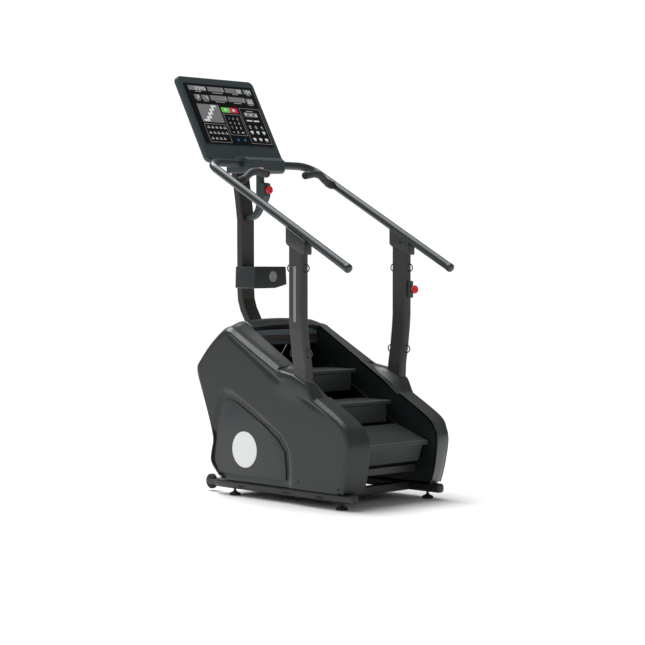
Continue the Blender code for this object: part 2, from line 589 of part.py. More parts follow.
def inset_outline(outline, amount):
    """Move every point of an open line to its right-hand side, square to its neighbours."""
    result = []
    for i, (y, z) in enumerate(outline):
        before, after = outline[max(i - 1, 0)], outline[min(i + 1, len(outline) - 1)]
        dy, dz = after[0] - before[0], after[1] - before[1]
        length = math.hypot(dy, dz)
        result.append((y + amount * dz / length, z - amount * dy / length))
    return result


def side_plates():
    inner, _ = cover_band_outlines()
    plate_bottom = 0.089
    outline = inset_outline([(y, z - RIM_DROP * on_pad(y)) for y, z in inner if z > plate_bottom + 0.03], 0.0105)
    outline = [(outline[0][0] + 0.012, plate_bottom)] + outline + [(outline[-1][0] - 0.040, plate_bottom)]
    for side, sign in both_sides():
        low, high = sorted((sign * (WALL_X + 0.0005), sign * (WALL_X + 0.0005 + PLATE_THICKNESS)))
        plate = as_mesh(flat_outline(f"side_plate_{side}", [outline], low, high, FRAME_PAINT))
        x = (low + high) / 2
        holes = [("lower", LOWER_CENTRE, SHAFT_HOLE_RADIUS), ("upper", UPPER_CENTRE, SHAFT_HOLE_RADIUS)]
        if sign > 0:
            holes.append(("motor", (MOTOR_Y, MOTOR_Z), 0.0095))
        for name, centre, radius in holes:
            combine(plate, rod(f"{name}_hole_{side}", (x, *centre), radius, 0.02, "X", STEEL), "DIFFERENCE")


def rear_hood():
    inner, _ = cover_band_outlines()
    start = next(i for i, (y, z) in enumerate(inner) if y > 0.20 and z > 0.75)
    profile = [(0.262, 0.796), (0.252, 0.812)] + [point for point in inner[start:] if point[0] > 0.22]
    half = WALL_X - 0.0018
    stations = [-half, -0.155, -0.052, 0.052, 0.155, half]
    bm = bmesh.new()
    rows = []
    for x in stations:
        crown = 1 - (x / half) ** 2
        row = []
        for k, (y, z) in enumerate(profile):
            fade = smoothstep(0.30, 0.10, z)
            lip = 0.020 if k < 3 else 0.0
            forward = crown * (lip + 0.010 * (1 - fade))
            row.append(bm.verts.new((x, y + forward, z + crown * 0.011 * (1 - fade))))
        rows.append(row)
    for row, following in zip(rows, rows[1:]):
        for i in range(len(profile) - 1):
            bm.faces.new((row[i], row[i + 1], following[i + 1], following[i]))
    hood = from_bmesh("rear_hood", bm, COVER_PLASTIC)
    if sum(face.normal.y * face.area for face in hood.data.polygons) < 0:
        hood.data.flip_normals()
    shell = hood.modifiers.new("wall", "SOLIDIFY")
    shell.thickness = 0.003
    shell.offset = -1.0
    lean = math.atan2(MAST_PATH[2][0] - MAST_PATH[1][0], MAST_PATH[2][1] - MAST_PATH[1][1])
    bm = bmesh.new()
    placed = Matrix.Translation((0, MAST_PATH[2][0], MAST_PATH[2][1])) @ Matrix.Rotation(-lean, 4, "X")
    bmesh.ops.create_cube(bm, size=1.0, matrix=placed @ Matrix.Diagonal(
        (2 * MAST_HALF_X + 0.003, 2 * MAST_HALF_Y + 0.003, 0.44, 1.0)))
    combine(hood, from_bmesh("mast_hole", bm, STEEL), "DIFFERENCE")
    box("inner_rear_panel", (0.0005 - WALL_X, 0.2665, 0.738), (WALL_X - 0.0005, 0.2695, 0.792), PANEL_PLASTIC)


def access_panels():
    outline = [(0.316, 0.462), (0.262, 0.460), (0.205, 0.432), (0.062, 0.358), (-0.044, 0.290), (-0.084, 0.242),
               (-0.092, 0.170), (-0.092, 0.116), (0.368, 0.116), (0.392, 0.165), (0.388, 0.242), (0.374, 0.320),
               (0.350, 0.394), (0.334, 0.440)]
    floor = COVER_SIDE_X + 0.0005 - RECESS_DEPTH
    for side, sign in both_sides():
        low, high = sorted((sign * (floor + 0.0038), sign * (floor + 0.0068)))
        flat_outline(f"access_panel_{side}", [outline], low, high, PANEL_PLASTIC)


def front_cross_bar():
    reach = WALL_X - GAP
    box("front_cross_bar", (-reach, -0.4180, 0.139), (reach, -0.4100, 0.172), FRAME_PAINT, bevel=0.0015)


# ---------------------------------------------------------------- posts and handrails
def posts():
    section = rounded_rectangle(POST_HALF_X, POST_HALF_Y, 0.014, steps=4)
    for side, sign in both_sides():
        rings = []
        for i, (x, z) in enumerate(POST_PATH):
            slope = 0.40 if i == len(POST_PATH) - 1 else (0.4468 if i == 0 else 0.0)
            base = z - (0.018 if i == len(POST_PATH) - 1 else 0.0)
            rings.append([(sign * x + u, POST_Y + v, base + slope * v) for u, v in section])
        post = loft(f"post_{side}", rings, FRAME_PAINT)
        for height in LOOP_HEIGHTS:
            x = next(blend(a[0], b[0], (height - a[1]) / (b[1] - a[1]))
                     for a, b in zip(POST_PATH, POST_PATH[1:]) if a[1] <= height <= b[1])
            for place, toward in (("front", -1), ("rear", 1)):
                face = POST_Y + toward * (POST_HALF_Y - 0.004)
                reach = LOOP_REACH + 0.004
                points = [(sign * x, face + toward * (reach - LOOP_WIRE_RADIUS) * math.sin(angle) ** 0.7,
                           height + LOOP_HALF_HEIGHT * math.cos(angle))
                          for angle in (math.pi * k / 10 for k in range(11))]
                wire = tube(f"loop_{side}_{place}_{round(height * 1000)}", points, LOOP_WIRE_RADIUS, STEEL)
                combine(post, as_mesh(wire), "UNION")


def handrail_height(y):
    slope = (HANDRAIL_CORNER[1] - HANDRAIL_FRONT[1]) / (HANDRAIL_CORNER[0] - HANDRAIL_FRONT[0])
    return HANDRAIL_FRONT[1] + slope * (y - HANDRAIL_FRONT[0])


def rail_brackets():
    slope = math.atan2(HANDRAIL_CORNER[1] - HANDRAIL_FRONT[1], HANDRAIL_CORNER[0] - HANDRAIL_FRONT[0])
    under = HANDRAIL_RADIUS / math.cos(slope) + 0.001
    front, rear = POST_Y - 0.0665, POST_Y + 0.0630
    lower = [(y, 1.2075 + 0.40 * (y - POST_Y)) for y in (front + 0.010, rear - 0.010)]
    outline = [(front, handrail_height(front) - under), (front, 1.181), lower[0], lower[1], (rear, 1.239),
               (rear, handrail_height(rear) - under)]
    for side, sign in both_sides():
        low, high = sorted((sign * (HANDRAIL_X - 0.0205), sign * (HANDRAIL_X + 0.0285)))
        bracket = as_mesh(flat_outline(f"rail_bracket_{side}", [outline], low, high, FRAME_PAINT))
        add_bevel(bracket, 0.003)


def handrails():
    front = Vector((HANDRAIL_X, *HANDRAIL_FRONT))
    corner = Vector((HANDRAIL_X, *HANDRAIL_CORNER))
    inner = Vector((HUB_HALF_WIDTH + GAP, *HANDRAIL_CORNER))
    along, across = (corner - front).normalized(), (inner - corner).normalized()
    start, end = corner - along * HANDRAIL_BEND, corner + across * HANDRAIL_BEND
    bend = []
    for k in range(11):
        angle = math.pi / 2 * k / 10
        bend.append(start + (along * math.sin(angle) + across * (1 - math.cos(angle))) * HANDRAIL_BEND)
    bend[-1] = end
    # a plug a little wider than the tube closes its front end: (distance, scale)
    rounding = ((0.0, 0.60), (0.003, 0.86), (0.008, 1.02), (0.014, 1.07), (0.026, 1.07), (0.0265, 1.0))
    for side, sign in both_sides():
        points = [front + along * distance for distance, _ in rounding] + bend + [inner]
        scales = [scale for _, scale in rounding] + [1.0] * (len(bend) + 1)
        tube(f"handrail_{side}", [(sign * p.x, p.y, p.z) for p in points], HANDRAIL_RADIUS, RAIL_PAINT,
             resolution=7, scales=scales)


def grips():
    """Short handles that leave the handrails inwards, rise over an elbow and carry a thumb button."""
    rail_z = handrail_height(GRIP_Y)
    path = ((0.3300, rail_z + 0.004), (0.320, rail_z + 0.004), (0.306, rail_z + 0.009),
            (0.292, rail_z + 0.014), (0.285, rail_z + 0.018), (0.268, rail_z + 0.028), (0.250, rail_z + 0.042), (0.236, rail_z + 0.051), (0.222, rail_z + 0.055),
            (0.206, rail_z + 0.057), (0.190, rail_z + 0.057), (0.160, rail_z + 0.052), (0.135, rail_z + 0.0475),
            (0.128, rail_z + 0.0465), (0.124, rail_z + 0.046), (0.1215, rail_z + 0.0455))
    scales = (0.98, 1.02, 1.04, 1.03, 0.93, 0.93, 0.96, 1.0, 1.0, 1.0, 1.0, 1.02, 1.02, 0.96, 0.80, 0.50)
    for side, sign in both_sides():
        grip = as_mesh(tube(f"grip_{side}", [(sign * x, GRIP_Y, z) for x, z in path], GRIP_RADIUS, GRIP_RUBBER,
                            resolution=5, scales=scales))
        top = rail_z + 0.054 + GRIP_RADIUS * 1.01
        x = sign * THUMB_X
        combine(grip, box(f"thumb_pocket_{side}", (x - 0.0150, GRIP_Y - 0.0080, top - 0.0085),
                          (x + 0.0150, GRIP_Y + 0.0080, top + 0.010), STEEL), "DIFFERENCE")
        box(f"thumb_button_{side}", (x - 0.0140, GRIP_Y - 0.0070, top - 0.0085 + THUMB_TRAVEL + 0.001),
            (x + 0.0140, GRIP_Y + 0.0070, top + 0.0035), BUTTON_ORANGE, bevel=0.002)


# ---------------------------------------------------------------- mast, console and their fittings
def mast():
    section = rounded_rectangle(MAST_HALF_X, MAST_HALF_Y, 0.008, steps=3)
    rings = []
    for i, (y, z) in enumerate(MAST_PATH):
        before, after = MAST_PATH[max(i - 1, 0)], MAST_PATH[min(i + 1, len(MAST_PATH) - 1)]
        along = Vector((0, after[0] - before[0], after[1] - before[1])).normalized()
        across = Vector((0, along.z, -along.y))
        rings.append([Vector((u, y, z)) + across * v for u, v in section])
    loft("mast", rings, MAST_PAINT)


def console():
    """The console leans back; its own frame has X across, Z up its face and +Y behind the face."""
    placed = Matrix.Translation((0, *CONSOLE_BASE)) @ Matrix.Rotation(-CONSOLE_TILT, 4, "X")
    outline = rounded_rectangle(CONSOLE_WIDTH / 2, CONSOLE_LENGTH / 2, 0.025, steps=4)
    middle = CONSOLE_LENGTH / 2
    layers = ((0.0, 0.985), (0.004, 1.0), (CONSOLE_THICKNESS - 0.010, 1.0), (CONSOLE_THICKNESS, 0.965))
    rings = [[placed @ Vector((u * scale, depth, middle + v * scale)) for u, v in outline]
             for depth, scale in layers]
    loft("console_shell", rings, CONSOLE_PLASTIC)
    face = box("console_face", (-FACE_HALF_WIDTH, -GAP - FACE_THICKNESS, FACE_LOW),
               (FACE_HALF_WIDTH, -GAP, FACE_HIGH), FACE_FILM, bevel=0.0008, segments=1)
    face.data.transform(placed)


def console_hub():
    profile = ((0.388, 1.612), (0.402, 1.598), (0.560, 1.598), (0.560, 1.632), (0.532, 1.650), (0.500, 1.674),
               (0.410, 1.676), (0.388, 1.660))
    hub = as_mesh(flat_outline("console_hub", [profile], -HUB_HALF_WIDTH, HUB_HALF_WIDTH, CONSOLE_PLASTIC))
    add_bevel(hub, 0.004)


def tray_outline(half, front, rear, inset):
    """Plan of the tray, shrunk by inset: tight corners in front, generous ones against the mast."""
    points = []
    for corner, (x, y, radius) in enumerate(((half, rear, 0.035), (-half, rear, 0.035),
                                             (-half, front, 0.010), (half, front, 0.010))):
        middle_x = x - math.copysign(radius, x)
        middle_y = y - radius if y == rear else y + radius
        for k in range(4):
            angle = math.pi / 2 * (corner + k / 3)
            points.append((middle_x + (radius - inset) * math.cos(angle),
                           middle_y + (radius - inset) * math.sin(angle)))
    return points


def accessory_tray():
    """Open-topped holder on the front of the mast."""
    levels = ((TRAY_Z[0], TRAY_HALF_BOTTOM, TRAY_Y[0] - 0.002), (TRAY_Z[1], TRAY_HALF_TOP, TRAY_Y[0]))
    rings = [[(x, y, z) for x, y in tray_outline(half, front, TRAY_Y[1], 0.0)] for z, half, front in levels]
    tray = loft("accessory_tray", rings, CONSOLE_PLASTIC)
    pocket = [[(x, y, z) for x, y in tray_outline(TRAY_HALF_TOP, TRAY_Y[0], TRAY_Y[1], TRAY_WALL)]
              for z in (TRAY_Z[0] + TRAY_WALL, TRAY_Z[1] + 0.02)]
    combine(tray, loft("tray_pocket", pocket, STEEL), "DIFFERENCE")


def mushroom(name, centre, face_y):
    """Stop button: a rounded head whose stem slides into its base; centre is the base's front face."""
    head, stem = ESTOP_HEAD_RADIUS, ESTOP_STEM_RADIUS
    low = ESTOP_TRAVEL + 0.0015
    top = low + ESTOP_HEAD_DEPTH
    profile = ((0, -0.007), (stem, -0.007), (stem, low), (head - 0.003, low), (head - 0.001, low + 0.002),
               (head, low + 0.010), (head - 0.0008, top - 0.006), (head - 0.004, top - 0.002),
               (head - 0.009, top - 0.0004), (0, top))
    turned(name, [(radius, -height) for radius, height in profile], "Y", (centre[0], face_y, centre[1]),
           ESTOP_RED, sides=28)


def stop_buttons():
    bore = ESTOP_STEM_RADIUS + 0.0005
    arm_front = 0.387
    base = as_mesh(flat_outline("estop_base_arm", [ARM_HOUSING], -0.022, 0.022, CONSOLE_PLASTIC))
    add_bevel(base, 0.003)
    combine(base, rod("arm_stem_bore", (0, arm_front, ARM_ESTOP_Z), bore, 0.030, "Y", STEEL), "DIFFERENCE")
    mushroom("estop_button_arm", (0, ARM_ESTOP_Z), arm_front)
    post_face = POST_Y - POST_HALF_Y - GAP
    front = post_face - 0.0175
    x, half, collar = HANDRAIL_X + 0.0078, 0.0135, 0.006
    base = box("estop_base_post", (x - half, front, POST_ESTOP_Z - 0.042),
               (x + half, post_face, POST_ESTOP_Z + 0.042), CONSOLE_PLASTIC, bevel=0.004)
    combine(base, rod("post_collar", (x, front - collar / 2, POST_ESTOP_Z), 0.0125, collar + 0.002, "Y", STEEL),
            "UNION")
    combine(base, rod("post_stem_bore", (x, front - collar, POST_ESTOP_Z), bore, 0.030, "Y", STEEL), "DIFFERENCE")
    mushroom("estop_button_post", (x, POST_ESTOP_Z), front - collar - 0.001)


def estop_arm():
    """J-shaped bar from the front of the mast up to the underside of the hub."""
    section = rounded_rectangle(0.0195, 0.0135, 0.006, steps=2)
    path = [(0.5300, 1.372), (0.515, 1.374)]
    bend_y, bend_z, bend = 0.515, 1.448, 0.074
    path += [(bend_y - bend * math.sin(a), bend_z - bend * math.cos(a))
             for a in (math.pi / 2 * k / 6 for k in range(1, 7))]
    path.append((0.441, 1.598 - GAP))
    rings = []
    for i, (y, z) in enumerate(path):
        before, after = path[max(i - 1, 0)], path[min(i + 1, len(path) - 1)]
        along = Vector((0, after[0] - before[0], after[1] - before[1])).normalized()
        across = Vector((0, along.z, -along.y))
        rings.append([Vector((u, y, z)) + across * v for u, v in section])
    loft("estop_arm", rings, CONSOLE_PLASTIC)


floor_frame()
transport_wheels()
stair()
chain_and_shafts()
side_covers()
side_plates()
rear_hood()
access_panels()
front_cross_bar()
posts()
rail_brackets()
handrails()
grips()
mast()
console()
console_hub()
accessory_tray()
stop_buttons()
estop_arm()
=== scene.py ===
"""Looks of the stair climber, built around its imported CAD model. Lengths are in metres.

Everything is modelled in the machine frame (X to the user's right, Y towards the console, Z up,
floor at 0), which sits DATUM_Y along the row frame's Y axis. Pieces are moved there by place().
"""
import math

import bmesh
import bpy
from mathutils import Matrix, Vector


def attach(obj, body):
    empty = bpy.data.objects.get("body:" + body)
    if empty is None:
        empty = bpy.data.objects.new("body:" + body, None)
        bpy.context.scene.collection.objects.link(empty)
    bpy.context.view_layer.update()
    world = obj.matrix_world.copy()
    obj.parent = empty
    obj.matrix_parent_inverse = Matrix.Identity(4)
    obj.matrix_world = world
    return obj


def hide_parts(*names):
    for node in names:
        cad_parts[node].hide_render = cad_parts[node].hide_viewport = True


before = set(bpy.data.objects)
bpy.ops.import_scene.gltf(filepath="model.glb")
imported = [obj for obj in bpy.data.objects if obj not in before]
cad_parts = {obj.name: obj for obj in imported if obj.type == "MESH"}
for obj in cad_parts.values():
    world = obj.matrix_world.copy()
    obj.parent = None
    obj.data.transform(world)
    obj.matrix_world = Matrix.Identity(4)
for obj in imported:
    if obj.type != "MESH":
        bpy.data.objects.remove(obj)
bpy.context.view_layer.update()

DATUM_Y = -0.12985
ROOT = "machine"

# stair
STEP_COUNT, STEP_PITCH = 6, 0.2797
INCLINE = math.radians(30.5)
CHAIN_RADIUS = 0.075
FIRST_STEP_TILT = math.radians(19.0)
LOWER_CENTRE = (-0.34050, 0.24104)
UPPER_CENTRE = (0.17947, 0.54733)
NOSE_Y, TREAD_TOP = -0.113, 0.040        # nose and tread top, from a step's pivot
STEP_DEPTH, TREAD_THICKNESS, TREAD_HALF_WIDTH = 0.226, 0.020, 0.213
RISER_HALF_WIDTH = 0.190

# covers
WALL_X, COVER_SIDE_X = 0.232, 0.350
SKIN_X = COVER_SIDE_X + 0.0005           # the visible side lies just outside the CAD cover
COVER_BOTTOM = 0.079
RECESS_DEPTH = 0.013
RIM_DIP = 0.011                          # how far the inner rim dips beside the pad
PAD_TOP = ((-0.304, 0.5058), (-0.292, 0.518), (-0.284, 0.537), (-0.276, 0.553), (-0.267, 0.569),
           (-0.257, 0.580), (-0.163, 0.622), (-0.100, 0.632), (-0.043, 0.6407))

# posts, handrails and mast
POST_Y, POST_UPPER_X, POST_HALF_X = -0.208, 0.355, 0.024
HANDRAIL_X, HANDRAIL_RADIUS = 0.351, 0.0205
HANDRAIL_FRONT, HANDRAIL_CORNER = (-0.5435, 1.1159), (0.449, 1.643)
HANDRAIL_BEND, HANDRAIL_END_X = 0.085, 0.1254   # corner radius, and where a rail meets the hub
GRIP_Y, GRIP_RADIUS = 0.250, 0.019

# console plane
CONSOLE_BASE, CONSOLE_TILT = (0.540, 1.660), math.radians(29.7)
CONSOLE_WIDTH, CONSOLE_LENGTH, CONSOLE_THICKNESS = 0.526, 0.508, 0.035
FACE_FRONT = 0.0034                      # the overlay's front face, ahead of the console shell

# studio
ROOM_LIGHT, OVERHEAD_LIGHT, FILL_LIGHT, RIM_LIGHT = 0.28, 3.05, 18.0, 170.0


# ---------------------------------------------------------------- materials
def node_of(tree, kind, **settings):
    node = tree.nodes.new(kind)
    for name, value in settings.items():
        setattr(node, name, value)
    return node


def surface(name, color, roughness, metallic=0.0, mottle=0.10, mottle_scale=7.0, grain_scale=900.0,
            grain=0.25, specular=0.5, coat=0.0):
    """A moulded, painted or rubber surface: faint mottling and fine grain."""
    made = bpy.data.materials.new(name)
    made.use_nodes = True
    tree = made.node_tree
    shader = tree.nodes["Principled BSDF"]
    shader.inputs["Metallic"].default_value = metallic
    shader.inputs["Specular IOR Level"].default_value = specular
    shader.inputs["Coat Weight"].default_value = coat
    place_at = node_of(tree, "ShaderNodeTexCoord").outputs["Object"]
    broad = node_of(tree, "ShaderNodeTexNoise")
    broad.inputs["Scale"].default_value = mottle_scale
    broad.inputs["Detail"].default_value = 4.0
    tree.links.new(place_at, broad.inputs["Vector"])
    tint = node_of(tree, "ShaderNodeMix", data_type="RGBA")
    tint.inputs["A"].default_value = (*[c * (1 - mottle) for c in color], 1.0)
    tint.inputs["B"].default_value = (*[c * (1 + mottle) for c in color], 1.0)
    tree.links.new(broad.outputs["Fac"], tint.inputs["Factor"])
    tree.links.new(tint.outputs["Result"], shader.inputs["Base Color"])
    sheen = node_of(tree, "ShaderNodeMapRange")
    sheen.inputs["To Min"].default_value = max(0.05, roughness - 0.06)
    sheen.inputs["To Max"].default_value = min(1.0, roughness + 0.06)
    tree.links.new(broad.outputs["Fac"], sheen.inputs["Value"])
    tree.links.new(sheen.outputs["Result"], shader.inputs["Roughness"])
    fine = node_of(tree, "ShaderNodeTexNoise")
    fine.inputs["Scale"].default_value = grain_scale
    fine.inputs["Detail"].default_value = 2.0
    tree.links.new(place_at, fine.inputs["Vector"])
    bump = node_of(tree, "ShaderNodeBump")
    bump.inputs["Strength"].default_value = grain
    bump.inputs["Distance"].default_value = 0.0003
    tree.links.new(fine.outputs["Fac"], bump.inputs["Height"])
    tree.links.new(bump.outputs["Normal"], shader.inputs["Normal"])
    return made


def glowing(name, color, strength):
    made = surface(name, color, 0.35, mottle=0.04, grain=0.05)
    shader = made.node_tree.nodes["Principled BSDF"]
    shader.inputs["Emission Color"].default_value = (*color, 1.0)
    shader.inputs["Emission Strength"].default_value = strength
    return made


COVER = surface("cover_moulding", (0.024, 0.027, 0.028), 0.32, mottle=0.08, grain_scale=1100, grain=0.25,
                specular=0.38)
PANEL = surface("panel_moulding", (0.030, 0.034, 0.036), 0.50, mottle=0.08, grain_scale=700, grain=0.45)
# the side plates in the stair well are near black: the well's shade is painted into their colour
WELL = surface("stair_well_painted_shade", (0.006, 0.010, 0.010), 0.42, mottle=0.10, grain=0.15)
FRAME = surface("frame_powder_coat", (0.022, 0.025, 0.025), 0.40, mottle=0.12, grain_scale=1400, grain=0.35)
POST = surface("post_powder_coat", (0.026, 0.028, 0.027), 0.42, mottle=0.10, grain_scale=1400, grain=0.35)
MAST = surface("mast_powder_coat", (0.024, 0.022, 0.019), 0.45, mottle=0.10, grain_scale=1400, grain=0.35)
RAIL = surface("rail_powder_coat", (0.020, 0.029, 0.032), 0.30, mottle=0.05, grain_scale=1600, grain=0.06)
TREAD = surface("tread_moulding", (0.026, 0.031, 0.031), 0.55, mottle=0.14, mottle_scale=14, grain_scale=600,
                grain=0.6)
CONSOLE = surface("console_moulding", (0.024, 0.040, 0.044), 0.45, mottle=0.06, grain_scale=1200, grain=0.30)
FACE = surface("overlay_film", (0.003, 0.0035, 0.004), 0.30, mottle=0.10, grain_scale=2000, grain=0.05,
               specular=0.12)
GREY_WINDOW = surface("display_grey", (0.22, 0.22, 0.23), 0.45, mottle=0.16, mottle_scale=300, grain=0.1)
WHITE_PRINT = surface("white_print", (0.92, 0.92, 0.92), 0.45, mottle=0.03, grain=0.1)
DIM_PRINT = surface("dim_print", (0.52, 0.53, 0.52), 0.50, mottle=0.06, grain=0.1)
GREEN_KEY = surface("green_key", (0.16, 0.72, 0.10), 0.40, mottle=0.05, grain=0.1)
RED_KEY = surface("red_key", (0.72, 0.02, 0.09), 0.40, mottle=0.05, grain=0.1)
BLUE_PRINT = surface("blue_print", (0.02, 0.16, 0.42), 0.40, mottle=0.05, grain=0.1)
WHITE_MARK = surface("white_mark", (0.80, 0.81, 0.81), 0.40, mottle=0.03, grain_scale=1200, grain=0.2)
TRAY = surface("tray_moulding", (0.014, 0.018, 0.019), 0.48, mottle=0.08, grain_scale=900, grain=0.35)
GRIP = surface("grip_rubber_soft", (0.026, 0.030, 0.032), 0.62, mottle=0.12, grain_scale=500, grain=0.7)
RUBBER = surface("rubber_matt", (0.008, 0.008, 0.008), 0.70, mottle=0.2, grain_scale=800, grain=0.5)
# near-black steel for the chains, shafts and pulley: partly their own dark steel, partly the stair well's
# shade painted in
DARK_STEEL = surface("steel_darkened_by_painted_shade", (0.05, 0.05, 0.05), 0.40, metallic=0.8, mottle=0.25, mottle_scale=60,
                     grain_scale=500, grain=0.4)
SCREW = surface("black_screw", (0.012, 0.012, 0.012), 0.30, metallic=0.6, mottle=0.2, grain=0.2)
SHADOW_GAP = surface("shadow_gap", (0.002, 0.002, 0.002), 0.80, mottle=0.1, grain=0.1)
STOP_RED = surface("stop_red", (0.62, 0.004, 0.010), 0.42, mottle=0.06, grain_scale=700, grain=0.10,
                   coat=0.05)
BROWN_STRIP = surface("brown_strip", (0.030, 0.016, 0.010), 0.55, mottle=0.2, grain=0.3)
MARK_GREY = surface("mark_grey", (0.22, 0.23, 0.23), 0.50, mottle=0.06, grain=0.2)
# a faint emission paints a glow onto the orange thumb button
BUTTON_GLOW = glowing("orange_button_painted_glow", (0.80, 0.36, 0.25), 0.25)
WALL_TEAL = surface("well_end_wall", (0.075, 0.105, 0.108), 0.50, mottle=0.08, grain=0.2)


# ---------------------------------------------------------------- placing pieces
def place(obj, body, finish, replaces=()):
    """Give a piece its material, shift it into the row frame, and let it ride on its CAD body."""
    if obj.name not in bpy.context.scene.collection.objects:
        bpy.context.scene.collection.objects.link(obj)
    obj.data.materials.clear()
    obj.data.materials.append(finish)
    obj.location.y += DATUM_Y
    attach(obj, body)
    if replaces:
        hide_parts(*replaces)
    return obj


def mesh_object(name, bm, smooth_angle=35.0):
    bmesh.ops.recalc_face_normals(bm, faces=bm.faces)
    mesh = bpy.data.meshes.new(name)
    bm.to_mesh(mesh)
    bm.free()
    mesh.shade_smooth()
    mesh.set_sharp_from_angle(angle=math.radians(smooth_angle))
    return bpy.data.objects.new(name, mesh)


def add_loft(bm, rings):
    """Skin rings of equal point count, and close both ends."""
    rows = [[bm.verts.new(point) for point in ring] for ring in rings]
    count = len(rows[0])
    for row, following in zip(rows, rows[1:]):
        for i in range(count):
            j = (i + 1) % count
            bm.faces.new((row[i], row[j], following[j], following[i]))
    bm.faces.new(rows[0][::-1])
    bm.faces.new(rows[-1])


def add_prism(bm, outline, low, high, to_world):
    """A closed prism over a flat outline of (a, b) points, between two depths."""
    rings = [[to_world(a, b, depth) for a, b in outline] for depth in (low, high)]
    add_loft(bm, rings)


def rounded_rectangle(half_u, half_v, radius, steps=5):
    points = []
    for corner, (su, sv) in enumerate(((1, 1), (-1, 1), (-1, -1), (1, -1))):
        for k in range(steps + 1):
            angle = math.pi / 2 * (corner + k / steps)
            points.append((su * (half_u - radius) + radius * math.cos(angle),
                           sv * (half_v - radius) + radius * math.sin(angle)))
    return points


def rounded_box(name, low, high, radius, body, finish):
    """A box whose edges are rolled over by a bevel."""
    bm = bmesh.new()
    size, middle = Vector(high) - Vector(low), (Vector(high) + Vector(low)) / 2
    bmesh.ops.create_cube(bm, size=1.0, matrix=Matrix.Translation(middle) @ Matrix.Diagonal((*size, 1.0)))
    bmesh.ops.bevel(bm, geom=bm.edges[:], offset=radius, segments=3, profile=0.5, affect="EDGES")
    return place(mesh_object(name, bm), body, finish)


AXES = {"X": Matrix.Rotation(math.pi / 2, 4, "Y"), "Y": Matrix.Rotation(-math.pi / 2, 4, "X"),
        "Z": Matrix.Identity(4)}


def add_turned(bm, profile, axis, centre, sides=32):
    """Revolve (radius, height) points, which start and end on the axis, into a closed solid."""
    turn = Matrix.Translation(centre) @ AXES[axis]
    rings = []
    for radius, height in profile:
        if radius < 1e-6:
            rings.append([bm.verts.new(turn @ Vector((0, 0, height)))])
        else:
            rings.append([bm.verts.new(turn @ Vector((radius * math.cos(2 * math.pi * k / sides),
                                                      radius * math.sin(2 * math.pi * k / sides), height)))
                          for k in range(sides)])
    for ring, following in zip(rings, rings[1:]):
        for k in range(sides):
            j = (k + 1) % sides
            if len(ring) == 1:
                bm.faces.new((ring[0], following[k], following[j]))
            elif len(following) == 1:
                bm.faces.new((ring[k], ring[j], following[0]))
            else:
                bm.faces.new((ring[k], ring[j], following[j], following[k]))


def blend(a, b, t):
    return a + (b - a) * t


def smoothstep(low, high, value):
    """0 at low, 1 at high, easing in between; low may be the larger of the two."""
    t = min(max((value - low) / (high - low), 0.0), 1.0)
    return t * t * (3 - 2 * t)


def catmull_at(points, position):
    """A point on the smooth line through the points; position counts control points."""
    i = min(int(position), len(points) - 2)
    t = position - i
    p0, p1 = points[max(i - 1, 0)], points[i]
    p2, p3 = points[i + 1], points[min(i + 2, len(points) - 1)]
    return tuple(0.5 * (2 * b + (c - a) * t + (2 * a - 5 * b + 4 * c - d) * t * t
                        + (3 * b - a - 3 * c + d) * t ** 3) for a, b, c, d in zip(p0, p1, p2, p3))


def disc(u, v, radius, sides=20):
    return [(u + radius * math.cos(2 * math.pi * k / sides), v + radius * math.sin(2 * math.pi * k / sides))
            for k in range(sides)]


def both_sides():
    return (("left", -1), ("right", 1))


